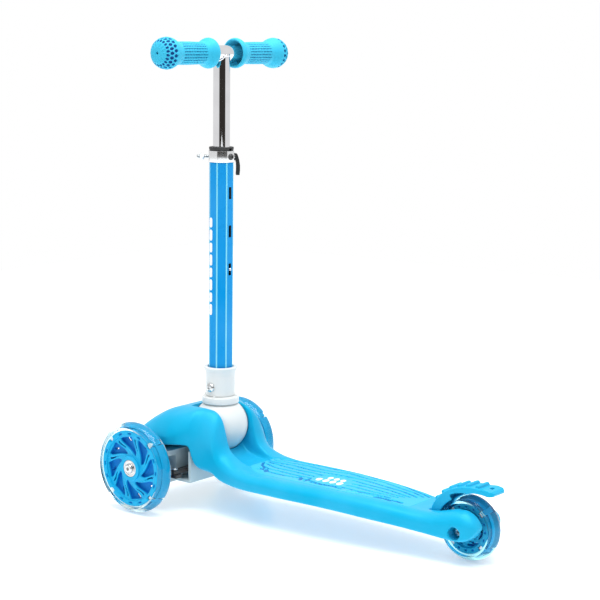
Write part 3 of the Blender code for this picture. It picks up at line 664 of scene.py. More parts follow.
def tread_pocket():
    """The shallow recess that the tread panel fills, a little inside the panel's outline."""
    across, rows = 24, 88
    points = []
    for level in (8.0, -2.1):
        for row in range(rows):
            y = TREAD_FRONT + 3.0 + (TREAD_REAR - TREAD_FRONT - 6.0) * row / (rows - 1)
            far, near = tread_edges(y)
            station = station_at(y)
            for column in range(across):
                x = far + 1.2 + (near - far - 2.4) * column / (across - 1)
                points.append((x, y, deck_top(x, station) + level))
    return points, slab_faces(rows, across)


def make_deck():
    """The deck body with the rooms for the ball, the rear wheel and their pins."""
    deck = build("deck_body", deck_body(), "deck_blue")
    holes = [turned(ball_outline(BALL_RADIUS + 0.8, -90.0, 90.0, 32), "Z", BALL_CENTRE, 96), collar_sweep()]
    holes.append(turned(rod(52.0, -15.5, 15.5), "X", REAR_WHEEL, 128))
    for low, high in ((-60.0, -21.0), (21.0, 60.0)):
        holes.append(turned(rod(7.8, low, high), "X", REAR_WHEEL, 48))
    holes.append(turned(rod(BOLT_RADIUS + GAP, -45.0, 45.0), "X", REAR_WHEEL, 24))
    holes.append(turned(rod(5.6, -208.0, -170.0), "Y", (0.0, 0.0, BALL_CENTRE.z), 24))
    holes.append(box((-10.0, -184.5, 70.0), (10.0, -166.0, 100.0)))
    holes.append(turned(rod(2.2, -28.0, 28.0), "X", BRAKE_PIN, 20))
    cut(deck, *holes, *underside_pockets(), tread_pocket())
    soften(deck, 1.2, 5)
    return stands_for(deck, "deck")


# ---------------------------------------------------------------- tread panel

TREAD_FRONT, TREAD_REAR = -92.0, 168.0
TREAD_STEP = 0.6


def tread_edges(y):
    """The panel's far and near edges across the deck at y."""
    share = (y - TREAD_FRONT) / (TREAD_REAR - TREAD_FRONT)
    nose = math.sqrt(clamp(share / 0.16) * (2.0 - clamp(share / 0.16)))
    tail = clamp((1.0 - share) / 0.45)
    far = -12.0 - (39.0 - 5.0 * share) * nose * (0.35 + 0.65 * math.sqrt(tail * (2.0 - tail)))
    near = 8.0 + 31.0 * nose * (0.62 + 0.38 * tail)
    return far, near


def tread_lines():
    """Centre lines of the panel's grooves, with their half widths, as points across the deck."""
    lines = []
    ys = [TREAD_FRONT + 2.0 + 2.5 * step for step in range(103)]
    lines.append(([(tread_edges(y)[0] + 2.2, y) for y in ys], 1.6))
    for number in range(7):
        start = TREAD_FRONT + 6.0 + 3.0 * abs(number - 2)
        end = TREAD_REAR - 6.0 - 5.0 * number
        line = []
        for step in range(110):
            y = start + (end - start) * step / 109
            far, near = tread_edges(y)
            share = (number + 1.0) / 8.2
            wave = 2.6 * math.sin(y / 21.0 + 0.55 * number) + 1.4 * math.sin(y / 9.5 + 1.9 * number)
            knot = 9.0 * math.exp(-((y - 36.0) / 26.0) ** 2) * (share - 0.62)
            line.append((far + (near - far - 4.0) * share + wave * 0.7 * (1.0 - 0.3 * share) + knot * 2.0, y))
        gap_low, gap_high = 8.0 + 4.0 * number, 62.0 - 3.0 * number
        if number in (3, 4, 5):
            lines.append(([p for p in line if p[1] < gap_low], 1.5))
            lines.append(([p for p in line if p[1] > gap_high], 1.5))
        else:
            lines.append((line, 1.4 if number % 2 else 1.7))
    lines.append(([(24.0, -74.0), (20.0, -70.0), (13.0, -72.0), (8.0, -80.0), (-2.0, -86.0)], 1.6))
    lines.append(([(16.0, -66.0), (20.0, -62.0), (25.0, -60.0)], 2.3))
    lines.append(([(18.0, -8.0), (22.5, -2.0), (29.0, 0.0)], 2.3))
    lines.append(([(12.0, 6.0), (22.0, 8.0), (30.0, 8.0)], 1.8))
    lines.append(([(28.5, 16.0), (30.0, 34.0), (27.0, 52.0), (28.5, 66.0)], 1.5))
    lines.append(([(31.0, 78.0), (25.0, 90.0), (20.0, 108.0)], 1.3))
    lines.append(([(31.0, 92.0), (26.0, 104.0), (21.0, 122.0)], 1.3))
    lines.append(([(27.0, 118.0), (24.0, 128.0), (25.0, 138.0)], 2.9))
    lines.append(([(22.0, 140.0), (21.0, 152.0)], 2.6))
    return lines


MARK_CENTRE = (4.0, 33.0)


def mark_shapes():
    """Plain ovals in two rows: (x, y, half length across, half length along)."""
    found = []
    for column in range(4):
        found.append((MARK_CENTRE[0] + 6.0, MARK_CENTRE[1] - 16.5 + 11.0 * column, 5.4, 3.6))
    for column in range(3):
        found.append((MARK_CENTRE[0] - 7.0, MARK_CENTRE[1] - 8.0 + 10.0 * column, 4.4, 3.2))
    return found


def line_depth(x, y):
    """How deep the grooves are at each point, from 0 to 1."""
    depth = np.zeros(x.shape)
    for line, half in tread_lines():
        for (x0, y0), (x1, y1) in zip(line, line[1:]):
            near = (y > min(y0, y1) - 6.0) & (y < max(y0, y1) + 6.0)
            if not near.any():
                continue
            px, py = x[near] - x0, y[near] - y0
            length = (x1 - x0) ** 2 + (y1 - y0) ** 2
            share = np.clip((px * (x1 - x0) + py * (y1 - y0)) / length, 0.0, 1.0)
            away = np.hypot(px - share * (x1 - x0), py - share * (y1 - y0))
            wall = np.clip((half + 0.45 - away) / 0.9, 0.0, 1.0)
            depth[near] = np.maximum(depth[near], wall * wall * (3.0 - 2.0 * wall))
    return depth


def make_tread():
    """A finely modelled panel set flush in the deck's top, cut with wavy grain, its grooves painted a darker
    blue as shade.
    """
    rows = int((TREAD_REAR - TREAD_FRONT) / TREAD_STEP) + 1
    across = 134
    ys = np.linspace(TREAD_FRONT, TREAD_REAR, rows)
    stations = [station_at(y) for y in ys]
    edges = [tread_edges(y) for y in ys]
    x = np.array([[far + (near - far) * c / (across - 1) for c in range(across)] for far, near in edges])
    y = np.repeat(ys[:, None], across, axis=1)
    height = np.array([[deck_top(float(v), station) for v in row] for row, station in zip(x, stations)])
    depth = line_depth(x, y)
    from_plate = np.hypot((x - MARK_CENTRE[0]) / 19.0, (y - MARK_CENTRE[1]) / 27.0)
    plate = np.clip(1.15 - from_plate, 0.0, 0.15) / 0.15
    depth = np.maximum(depth * (1.0 - plate), 0.55 * plate)
    marks = np.zeros(x.shape)
    for mx, my, hx, hy in mark_shapes():
        marks = np.maximum(marks, np.clip((1.12 - np.hypot((x - mx) / hx, (y - my) / hy)) / 0.16, 0.0, 1.0))
    depth = depth * (1.0 - 0.85 * marks * plate)
    rim = np.zeros(x.shape)
    rim[0, :] = rim[-1, :] = 1.0
    rim[:, 0] = rim[:, -1] = 1.0
    top = height + 0.12 - 1.15 * depth - 0.9 * rim
    points = list(zip(x.ravel().tolist(), y.ravel().tolist(), top.ravel().tolist()))
    points += list(zip(x.ravel().tolist(), y.ravel().tolist(), (height - 2.6).ravel().tolist()))
    faces = slab_faces(rows, across)
    # painted shade: faces deep in the grooves take the darker blue
    grooves = ((depth > 0.42) & (plate < 0.5)).astype(int)
    kinds = np.where(marks * plate > 0.5, 2, grooves)[:-1, :-1].ravel().tolist()
    kinds += [0] * (len(faces) - len(kinds))
    panel = build("deck_tread", (points, faces), ["tread_blue", "groove_shade_blue", "mark_white"], angle=70.0)
    panel.data.polygons.foreach_set("material_index", kinds)
    return goes_with(panel, "deck")


# ---------------------------------------------------------------- truck and steering linkage

BOLT_RADIUS = 3.85


def make_truck():
    """The ribbed grey housing under the wings."""
    middle = FRONT_AXLE_Y
    block = box((-80.0, middle - 24.0, 38.0), (80.0, middle + 32.0, 80.0))
    housing = build("truck_casing", block, "housing_grey")
    for side in (-1.0, 1.0):
        near, far = sorted((side * 59.0, side * 90.0))
        cut(housing, box((near, middle - 40.0, 46.0), (far, middle + 40.0, 73.6)))
        cut(housing, turned(rod(PIN_HOLE_RADIUS, 30.0, 90.0), "Z", (side * KINGPIN_X, middle, 0.0), 24))
    for low, high in ((-56.0, -20.0), (-17.0, 17.0), (20.0, 56.0)):
        cut(housing, box((low, middle - 20.0, 30.0), (high, middle + 28.0, 76.0)))
    join(housing, box((-58.0, middle + 30.0, 38.0), (58.0, middle + 56.0, 42.0)))
    back = [(-58.0, 38.5), (58.0, 38.5), (58.0, 80.0), (36.0, 80.0), (30.0, 67.0), (-30.0, 67.0)]
    back += [(-36.0, 80.0), (-58.0, 80.0)]
    join(housing, prism(back, "Y", middle + 53.0, middle + 56.5))
    bevelled(housing, 1.1, 3)
    stands_for(housing, "truck_housing")
    for side, word in ((1.0, "left"), (-1.0, "right")):
        pin = [(0.0, 81.9), (4.6, 81.9), (4.6, 80.35), (3.0, 80.35), (3.0, 37.0), (0.0, 37.0)]
        shape = turned(rounded(pin, 0.6, 3, True), "Z", (side * KINGPIN_X, middle, 0.0), 40)
        stands_for(build("kingpin_pin_" + word, shape, "zinc"), "kingpin_" + word)


def make_knuckle(side, word):
    """The black steel block that turns on a kingpin, with its stub and steering arm."""
    x, y = side * KINGPIN_X, FRONT_AXLE_Y
    shape = turned(rounded(rod(8.5, 46.4, 73.2), 1.0, 3, True), "Z", (x, y, 0.0), 64)
    knuckle = build("knuckle_block_" + word, shape, "black_steel")
    low, high = sorted((side * 4.0, side * 20.8))
    stub = turned(rounded(rod(7.0, low, high), 0.8, 3, True), "X", (x, y, FRONT_RADIUS), 48)
    join(knuckle, stub, box((x - 6.0, y, 46.4), (x + 6.0, y + ARM_LENGTH + 7.0, 51.0)))
    cut(knuckle, turned(rod(PIN_HOLE_RADIUS, 40.0, 80.0), "Z", (x, y, 0.0), 24))
    near, far = sorted((side * 9.0, side * 25.0))
    cut(knuckle, turned(rod(BOLT_RADIUS + GAP, near, far), "X", (x, y, FRONT_RADIUS), 24))
    cut(knuckle, prism(stadium((x, y + ARM_LENGTH + 0.3), 3.1, 4.4), "Z", 44.0, 54.0))
    soften(knuckle, 0.6, 3)
    stands_for(knuckle, "knuckle_" + word)


def make_tie_rod():
    """The bar that links the knuckles, its rivets, and the tongue that moves it."""
    low, high = 51.5, 56.5
    y = FRONT_AXLE_Y + ARM_LENGTH
    reach = KINGPIN_X + 6.0
    outline = rounded([(-reach, y - 5.0), (reach, y - 5.0), (reach, y + 5.0), (-reach, y + 5.0)], 4.5, 6)
    bar = build("tie_rod_bar", prism(outline, "Z", low, high), "black_steel")
    join(bar, box((-9.0, y - 9.2, low), (9.0, y + 10.0, high)))
    cut(bar, box((-4.4, y - 6.6, 40.0), (4.4, y + 7.5, 70.0)))
    for side, word in ((1.0, "left"), (-1.0, "right")):
        centre = (side * KINGPIN_X, y, 0.0)
        cut(bar, turned(rod(2.85, 45.0, 65.0), "Z", centre, 24))
        rivet = [(0.0, 59.0), (4.2, 59.0), (4.2, 56.85), (2.5, 56.85), (2.5, 46.0), (0.0, 46.0)]
        shape = turned(rounded(rivet, 0.9, 3, True), "Z", centre, 32)
        stands_for(build("tie_rivet_" + word, shape, "zinc"), "tie_pin_" + word)
    bevelled(bar, 0.5)
    stands_for(bar, "tie_rod")
    hang = Matrix.Translation(BALL_CENTRE * MM)
    plate = build("tongue_plate", box((-3.0, -22.0, -56.0), (3.0, -10.0, -9.4)), "zinc", hang)
    bevelled(plate, 0.6)
    stands_for(plate, "steering_tongue")


# ---------------------------------------------------------------- wheels


def curved_band(start, end, half, bend, turn, steps=14):
    """A strip that runs out across the wheel and curves forward: half is its half width by share."""
    sides = ([], [])
    for step in range(steps + 1):
        share = step / steps
        radius = start + (end - start) * share
        angle = turn + bend * math.sin(share * math.pi / 2.0)
        for edge, sign in zip(sides, (-1.0, 1.0)):
            spread = sign * half(share) / radius
            edge.append((radius * math.cos(angle + spread), radius * math.sin(angle + spread)))
    return sides[0] + sides[1][::-1]


def window(start, end, spokes, bend, turn, steps=14):
    """The opening between two spokes, from one spoke's leading side to the next one's trailing side."""
    lead, trail = [], []
    pitch = 2.0 * math.pi / spokes
    for step in range(steps + 1):
        share = step / steps
        radius = start + (end - start) * share
        angle = turn + bend * math.sin(share * math.pi / 2.0)
        spread = (4.3 + 2.2 * abs(2.0 * share - 1.0) ** 3) / radius
        lead.append((radius * math.cos(angle + spread), radius * math.sin(angle + spread)))
        last = angle + pitch - spread
        trail.append((radius * math.cos(last), radius * math.sin(last)))
    return rounded(lead + trail[::-1], 3.4, 4)


def dash(radius, turn, half_angle, half_width):
    """A short slot along the rim."""
    inner = arc((0.0, 0.0), radius - half_width, turn - half_angle, turn + half_angle, 5)
    outer = arc((0.0, 0.0), radius + half_width, turn + half_angle, turn - half_angle, 5)
    return rounded(inner + outer, 0.6, 2)


def core_shape(radius, spokes, side):
    """The spoked core, at the world's middle, with its outer face towards +X when side is 1."""
    rim = radius - 7.5
    profile = [(11.3, 10.3), (16.5, 10.3), (16.8, 7.0), (rim, 7.0), (rim + 0.6, 9.5), (radius, 9.5)]
    profile += [(across, -along) for across, along in reversed(profile)]
    profile += [(11.3, -2.6), (8.5, -2.6), (8.5, 2.6), (11.3, 2.6)]
    core = build("core", turned(profile, "X", sides=160), ["core_blue", "window_shade_blue"])
    bend = 0.6
    for number in range(spokes):
        turn = 2.0 * math.pi * number / spokes
        opening = window(19.0, rim - 0.6, spokes, bend, turn)
        slot = curved_band(20.5, rim - 3.0, lambda share: 0.7 + 0.5 * share, bend, turn)
        for low, high in ((1.2, 12.0), (-12.0, -1.2)):
            cut(core, prism(opening, "X", low, high))
        for low, high in ((2.2, 12.0), (-12.0, -2.2)):
            cut(core, prism(slot, "X", low, high))
        slit = curved_band(rim - 8.0, rim - 2.5, lambda share: 1.5, 0.1, turn + bend + 0.33, 5)
        cut(core, prism(rounded(slit, 1.0, 2), "X", -12.0, 12.0))
    for quarter in range(4):
        for step in (-1, 0, 1):
            turn = 90.0 * quarter + 21.5 * step
            for low, high in ((7.4, 12.0), (-12.0, -7.4)):
                cut(core, prism(dash(radius - 4.1, turn, 3.6, 1.25), "X", low, high))
        corner = math.radians(90.0 * quarter + 45.0)
        notch = [(radius - 4.6, -3.4), (radius + 5.0, -3.4), (radius + 5.0, 3.4), (radius - 4.6, 3.4)]
        cos, sin = math.cos(corner), math.sin(corner)
        cut(core, prism([(a * cos - b * sin, a * sin + b * cos) for a, b in notch], "X", -12.0, 12.0))
    soften(core, 0.6, 2)
    core.data.transform(Matrix.Scale(side, 4, (1.0, 0.0, 0.0)))
    if side < 0.0:
        core.data.flip_normals()
    paint_window_shade(core, rim)
    return core


def paint_window_shade(core, rim):
    """Painted shade: a deeper blue on the windows' floors and lower walls, and on the dashes' floors, where
    shade falls.
    """
    kinds = []
    for face in core.data.polygons:
        across = math.hypot(face.center.y, face.center.z) / MM
        depth = abs(face.center.x) / MM
        floor = 17.6 < across < rim - 0.4 and depth < 5.2
        dashes = rim + 1.2 < across < rim + 6.0 and 7.0 < depth < 8.6 and abs(face.normal.x) > 0.5
        kinds.append(1 if floor or dashes else 0)
    core.data.polygons.foreach_set("material_index", kinds)


def tyre_profile(radius, inner):
    """A tyre's closed section: a rounded tread, soft shoulders and a bore bonded to the core."""
    tread = [(radius - 14.0 * (1.0 - math.cos(math.asin(t / 14.0))), t) for t in range(9, -10, -1)]
    low_side = [(radius - 6.2, 0.2 - WHEEL_HALF), (inner + 2.4, 0.6 - WHEEL_HALF), (inner, 2.6 - WHEEL_HALF)]
    return [(across, -along) for across, along in reversed(low_side)] + tread + low_side


def place_wheel(word, centre, radius, spokes, tyre_look, side):
    """A clear tyre bonded on a spoked core, light blocks in the rim and a bearing at each end."""
    core_radius = radius - 9.6
    core = core_shape(core_radius, spokes, side)
    core.name = word + "_wheel_core"
    core.data.transform(Matrix.Translation(centre * MM))
    # painted shade: the rear core takes the darker copy of the core blue
    if word == "rear":
        core.data.materials[0] = LOOKS["core_deep"]
    stands_for(core, word + "_core")
    tyre = turned(rounded(tyre_profile(radius, core_radius - 0.25), 0.8, 2), "X", centre, 160)
    stands_for(build(word + "_wheel_tyre", tyre, tyre_look), word + "_tyre")
    band = turned(pipe(core_radius + 0.3, core_radius + 1.0, -2.0, 2.0), "X", centre, 128)
    lights = build(word + "_wheel_lights", band, ["light_white", "core_blue"])
    for quarter in range(4):
        corner = math.radians(90.0 * quarter + 45.0)
        cos, sin = math.cos(corner), math.sin(corner)
        deep, high = core_radius - 4.0, core_radius + 1.0
        outline = [(deep, -2.9), (high, -2.9), (high, 2.9), (deep, 2.9)]
        turned_outline = [(centre.y + a * cos - b * sin, centre.z + a * sin + b * cos) for a, b in outline]
        join(lights, prism(turned_outline, "X", centre.x - 7.0, centre.x + 7.0))
    bevelled(lights, 0.4)
    hidden = [abs(face.center.x / MM - centre.x) < 2.3 for face in lights.data.polygons]
    lights.data.polygons.foreach_set("material_index", [int(flat) for flat in hidden])
    stands_for(lights, word + "_light_ring")
    for end, name in ((1.0, "bearing_a"), (-1.0, "bearing_b")):
        section = [(4.2, 3.0), (4.2, 10.0), (6.3, 10.0), (6.5, 9.5), (8.9, 9.5), (9.1, 10.0)]
        section += [(11.0, 10.0), (11.0, 3.0)]
        profile = [(across, end * along) for across, along in section]
        shape = turned(rounded(profile, 0.3, 2), "X", centre, 72)
        stands_for(build(f"{word}_wheel_{name}", shape, "steel"), f"{word}_{name}")


def make_bolt(name, node, centre, side, shank, head_low, head_high, head_radius):
    """A domed bolt with a hexagonal socket in its head."""
    profile = [(0.0, shank), (BOLT_RADIUS, shank), (BOLT_RADIUS, head_low), (head_radius, head_low)]
    profile += [(head_radius, head_high - 1.6), (head_radius - 1.3, head_high), (0.0, head_high)]
    profile = [(across, side * along) for across, along in profile]
    bolt = build(name, turned(rounded(profile, 0.5, 3, True), "X", centre, 64), "zinc")
    low, high = sorted((side * (head_high - 2.6), side * (head_high + 2.0)))
    cut(bolt, turned(rod(2.7, low, high), "X", centre, 6))
    settle(bolt)
    stands_for(bolt, node)


def make_rear_axle():
    """The rear axle's bolt, nut and spacers."""
    make_bolt("rear_axle_screw", "rear_axle_bolt", REAR_WHEEL, 1.0, -26.5, 21.4, 25.6, 6.4)
    nut = turned(rounded(pipe(4.6, 6.9, -25.8, -21.4), 0.4, 2), "X", REAR_WHEEL, 6)
    stands_for(build("rear_axle_hex_nut", nut, "zinc", angle=25.0), "rear_axle_nut")
    for side, word in ((1.0, "left"), (-1.0, "right")):
        low, high = sorted((side * 10.4, side * 15.1))
        shape = turned(rounded(pipe(4.2, 6.0, low, high), 0.4, 2), "X", REAR_WHEEL, 48)
        stands_for(build("rear_axle_spacer_" + word, shape, "steel"), "rear_spacer_" + word)


# ---------------------------------------------------------------- brake


def around_axle(radius, turn):
    """A point (y, z) at a radius and an angle in degrees about the rear axle."""
    return arc((REAR_WHEEL.y, REAR_WHEEL.z), radius, turn, turn, 1)[0]


def make_brake():
    """The foot brake: a curved shell over the wheel with round grip ribs across its top."""
    axle = (REAR_WHEEL.y, REAR_WHEEL.z)
    half = 14.8
    outline = arc(axle, 43.8, 172.0, 88.0, 40)
    outline += [(252.0, 86.2), (262.0, 86.0), (270.0, 84.9), (276.8, 85.6), (277.8, 88.6), (274.0, 91.4)]
    outline += [(266.0, 92.8)]
    crests = []
    for step in range(41):
        turn = 69.5 + 102.5 * step / 40
        lift = 0.0028 * max(0.0, 114.0 - turn) ** 2
        outline.append(around_axle(50.0 + lift, turn))
    for rib in range(6):
        turn = 73.0 + 13.8 * rib
        crests.append(around_axle(50.9 + 0.0028 * max(0.0, 114.0 - turn) ** 2, turn))
    pedal = build("brake_shell", prism(outline, "X", -half, half), "deck_blue")
    for crest in crests:
        capsule = rounded(rod(3.0, -12.2, 12.2), 2.6, 5, True)
        join(pedal, turned(capsule, "X", (0.0, *crest), 24))
    join(pedal, turned(rod(4.0, -half, half), "X", BRAKE_PIN, 32))
    skirt = arc(axle, 37.5, 156.0, 118.0, 12) + arc(axle, 45.5, 118.0, 165.0, 14)
    for low, high in ((-half, -12.9), (12.9, half)):
        join(pedal, prism(skirt, "X", low, high))
    cut(pedal, turned(rod(2.35, -20.0, 20.0), "X", BRAKE_PIN, 24))
    cut(pedal, box((-3.5, 265.5, 70.0), (3.5, 269.5, 110.0)))
    plan = rounded([(-half, 150.0), (half, 150.0), (half, 278.0), (-half, 278.0)], 7.5, 8)
    combine(pedal, prism(plan, "Z", 20.0, 120.0), "INTERSECT")
    soften(pedal, 0.6, 5)
    stands_for(pedal, "brake_pedal")
    pin = turned(rounded(rod(2.0, -21.0, 21.0), 0.5, 2, True), "X", BRAKE_PIN, 24)
    stands_for(build("brake_hinge_pin", pin, "zinc"), "brake_pin")


# ---------------------------------------------------------------- steering head


def make_head():
    """The white ball, its collar and the socket that holds the stem."""
    cap = [(10.35, COLLAR_LOW - GAP), (16.0, COLLAR_LOW - GAP)]
    outline = cap + ball_outline(BALL_RADIUS, -90.0, 53.0, 48) + [(0.0, 12.0), (10.35, 12.0)]
    ball = build("head_ball", turned(outline, sides=128), "white", STEM, 50.0)
    centre = Matrix.Translation(BALL_CENTRE * MM)
    cut(ball, turned(rod(5.35, -45.0, 18.0), "Y", sides=32), place=centre)
    cut(ball, box((-3.4, -22.4, -40.0), (3.4, -9.6, -9.0)), place=centre)
    settle(ball, 50.0)
    stands_for(ball, "steering_ball")
    band = [(10.35, COLLAR_TOP), (22.6, COLLAR_TOP), (22.6, COLLAR_TOP - 1.0), (24.5, COLLAR_TOP - 1.4)]
    band += [(24.5, COLLAR_LOW + 1.0), (23.5, COLLAR_LOW), (10.35, COLLAR_LOW)]
    collar = build("head_collar_ring", turned(rounded(band, 0.5, 3), sides=128), "white", STEM)
    for turn in (20.0, 110.0, 200.0, 290.0):
        spot = arc((0.0, 0.0), 21.4, turn, 0.0, 1)[0]
        knob = rounded(rod(1.6, COLLAR_TOP - 2.0, COLLAR_TOP + 1.6), 0.6, 3, True)
        join(collar, turned(knob, "Z", (*spot, 0.0), 20), place=STEM)
    settle(collar)
    stands_for(collar, "head_collar")
    cup = [(0.0, 45.8), (17.2, 45.8), (17.2, SOCKET_TOP), (21.8, SOCKET_TOP), (22.4, SOCKET_TOP - 1.0)]
    cup += [(22.0, SOCKET_TOP - 2.6), (20.4, SOCKET_TOP - 6.5), (19.3, SOCKET_TOP - 12.0)]
    cup += [(19.5, COLLAR_TOP + GAP)]
    cup += [(10.0, COLLAR_TOP + GAP), (10.0, 12.4), (0.0, 12.4)]
    socket = build("head_socket", turned(rounded(cup, 0.7, 4, True), sides=128), "white", STEM)
    cut(socket, turned(rod(PIN_HOLE_RADIUS, -30.0, 30.0), "X", (0.0, 0.0, SOCKET_BOLT), 24), place=STEM)
    settle(socket)
    stands_for(socket, "tube_socket")
    pin = turned(rounded(rod(5.0, -206.0, -143.0), 0.8, 2, True), "Y", (0.0, 0.0, BALL_CENTRE.z), 40)
    stands_for(build("lean_pivot_pin", pin, "zinc"), "lean_pin")
    bolt = [(0.0, 23.0), (3.6, 22.8), (5.4, 21.8), (6.4, 20.1), (3.0, 20.1), (3.0, -23.6), (0.0, -23.6)]
    spot = (0.0, 0.0, SOCKET_BOLT)
    screw = build("socket_screw", turned(rounded(bolt, 0.4, 3, True), "X", spot, 64), "zinc", STEM)
    for half_y, half_z in ((3.2, 0.7), (0.7, 3.2)):
        groove = box((21.2, -half_y, SOCKET_BOLT - half_z), (25.0, half_y, SOCKET_BOLT + half_z))
        cut(screw, groove, place=STEM)
    settle(screw)
    stands_for(screw, "socket_bolt")
    nut = turned(rounded(pipe(3.87, 6.0, -23.3, -19.7), 0.4, 2), "X", spot, 6)
    stands_for(build("socket_hex_nut", nut, "zinc", STEM, 25.0), "socket_nut")


# ---------------------------------------------------------------- stem


def slot_shape(height):
    """A tall slot with small round corners."""
    corners = [(-2.4, height - 7.8), (2.4, height - 7.8), (2.4, height + 7.8), (-2.4, height + 7.8)]
    return prism(rounded(corners, 0.9, 3), "Y", 6.0, 24.0)


def make_lower_tube():
    """The blue octagonal tube, with its rounded corners in a paler blue as a painted highlight, and its
    height slots.
    """
    outline = rounded(octagon(TUBE_FLAT), 1.0, 4)
    looks = ["tube_blue", "tube_edge_highlight", "black_plastic"]
    tube = build("lower_tube_shell", prism(outline, "Z", TUBE_LOW, TUBE_TOP), looks, STEM)
    join(tube, turned(rod(14.6, TUBE_TOP - 5.0, CLAMP_TOP - 0.2), "Z", sides=64), place=STEM)
    cut(tube, turned(rod(TUBE_BORE, 0.0, 400.0), "Z", sides=96), place=STEM)
    cut(tube, turned(rod(PIN_HOLE_RADIUS, -30.0, 30.0), "X", (0.0, 0.0, SOCKET_BOLT), 24), place=STEM)
    for number in range(SLOT_COUNT):
        cut(tube, slot_shape(BUTTON_HEIGHT + SLOT_PITCH * number), place=STEM)
    settle(tube, 18.0)
    flat_way = STEM.inverted().to_3x3()
    kinds = []
    for face in tube.data.polygons:
        normal = flat_way @ face.normal
        turn = math.degrees(math.atan2(normal.y, normal.x)) % 45.0
        centre = STEM.inverted() @ face.center / MM
        outside = math.hypot(centre.x, centre.y) > TUBE_FLAT and centre.z < TUBE_TOP - 0.5
        # painted shade: the bore faces inside the tube take the black finish, so that the slots look dark
        inside = math.hypot(centre.x, centre.y) < TUBE_FLAT - 0.2 and centre.z < TUBE_TOP - 0.5
        # painted highlight: the rounded corner faces take the paler blue
        edge = outside and abs(normal.z) < 0.3 and 4.0 < turn < 41.0
        kinds.append(1 if edge else 2 if inside else 0)
    tube.data.polygons.foreach_set("material_index", kinds)
    stands_for(tube, "lower_tube")
    sleeve = [(11.35, FLANGE_TOP), (15.6, FLANGE_TOP), (16.3, FLANGE_TOP - 1.0), (15.6, CLAMP_TOP + GAP)]
    sleeve += [(12.85, CLAMP_TOP + GAP), (12.85, 332.0), (11.35, 332.0)]
    bush = build("tube_bush_flange", turned(rounded(sleeve, 0.5, 3), sides=96), "black_plastic", STEM)
    cut(bush, slot_shape(BUTTON_HEIGHT + SLOT_PITCH * (SLOT_COUNT - 1)), place=STEM)
    settle(bush)
    stands_for(bush, "tube_bushing")


def make_tube_marks():
    """A column of plain white ovals printed near the front edge of the tube's left face."""
    points, faces = [], []
    for number in range(8):
        middle = (-3.9, 156.0 + 16.4 * number)
        outline = stadium(middle, 2.4, 7.3 - 0.9 * (number % 2), 12)
        oval = prism(outline, "X", TUBE_FLAT - 0.2, TUBE_FLAT + 0.08)
        faces += [tuple(len(points) + corner for corner in face) for face in oval[1]]
        points += oval[0]
    goes_with(build("tube_marks", (points, faces), "mark_white", STEM), "lower_tube")


def make_clamp():
    """The split collar, its screw, skewer, seat, nut and lever."""
    low, high = TUBE_TOP + GAP, CLAMP_TOP
    collar = build("clamp_ring", prism(rounded(octagon(16.3), 1.8, 4), "Z", low, high), "aluminium", STEM)
    join(collar, box((-9.0, SKEWER_Y - 6.0, low + 1.0), (9.0, -13.0, high - 1.0)), place=CLAMP)
    cut(collar, turned(rod(14.95, 300.0, 400.0), "Z", sides=64), place=STEM)
    cut(collar, box((-1.2, -40.0, 300.0), (1.2, 0.0, 400.0)), place=CLAMP)
    cut(collar, turned(rod(2.85, -30.0, 30.0), "X", (0.0, SKEWER_Y, SKEWER_HEIGHT), 24), place=CLAMP)
    bevelled(collar, 0.45)
    stands_for(collar, "clamp_collar")
    spot = (0.0, 0.0, SCREW_HEIGHT)
    button = [(0.0, 19.4), (1.6, 19.3), (3.3, 18.6), (4.4, 16.7), (2.0, 16.7), (2.0, 13.4), (0.0, 13.4)]
    shape = turned(rounded(button, 0.4, 3, True), "Y", spot, 48)
    screw = build("clamp_ring_screw", shape, "black_steel", STEM)
    cut(screw, turned(rod(1.5, 17.8, 24.0), "Y", spot, 6), place=STEM)
    settle(screw)
    stands_for(screw, "collar_screw")
    make_skewer()
    make_lever()


def make_skewer():
    """The clamp's threaded skewer, its seat and its nut."""
    centre = (0.0, SKEWER_Y, SKEWER_HEIGHT)
    hinge = (LEVER_PIN_X, SKEWER_Y, SKEWER_HEIGHT)
    thread = [(0.0, 31.0), (2.0, 31.0)]
    along = 30.4
    while along > 10.5:
        thread += [(2.5, along), (2.1, along - 0.4)]
        along -= 0.8
    thread += [(2.5, 10.0), (2.5, LEVER_PIN_X + 1.0), (0.0, LEVER_PIN_X + 1.0)]
    skewer = build("clamp_skewer_rod", turned(thread, "X", centre, 40), "zinc", CLAMP, 50.0)
    join(skewer, turned(rounded(rod(4.0, -2.5, 2.5), 0.5, 2, True), "Y", hinge, 48), place=CLAMP)
    cut(skewer, turned(rod(1.85, -9.0, 9.0), "Y", hinge, 24), place=CLAMP)
    settle(skewer, 50.0)
    stands_for(skewer, "clamp_skewer")
    seat = turned(rounded(pipe(2.85, 4.0, LEVER_PIN_X + 5.1, -9.35), 0.4, 2), "X", centre, 40)
    stands_for(build("clamp_cam_seat", seat, "black_plastic", CLAMP), "cam_seat")
    nut = turned(rounded(pipe(3.3, 4.6, 22.0, 27.1), 0.5, 3), "X", centre, 6)
    stands_for(build("clamp_hex_nut", nut, "zinc", CLAMP, 25.0), "clamp_nut")


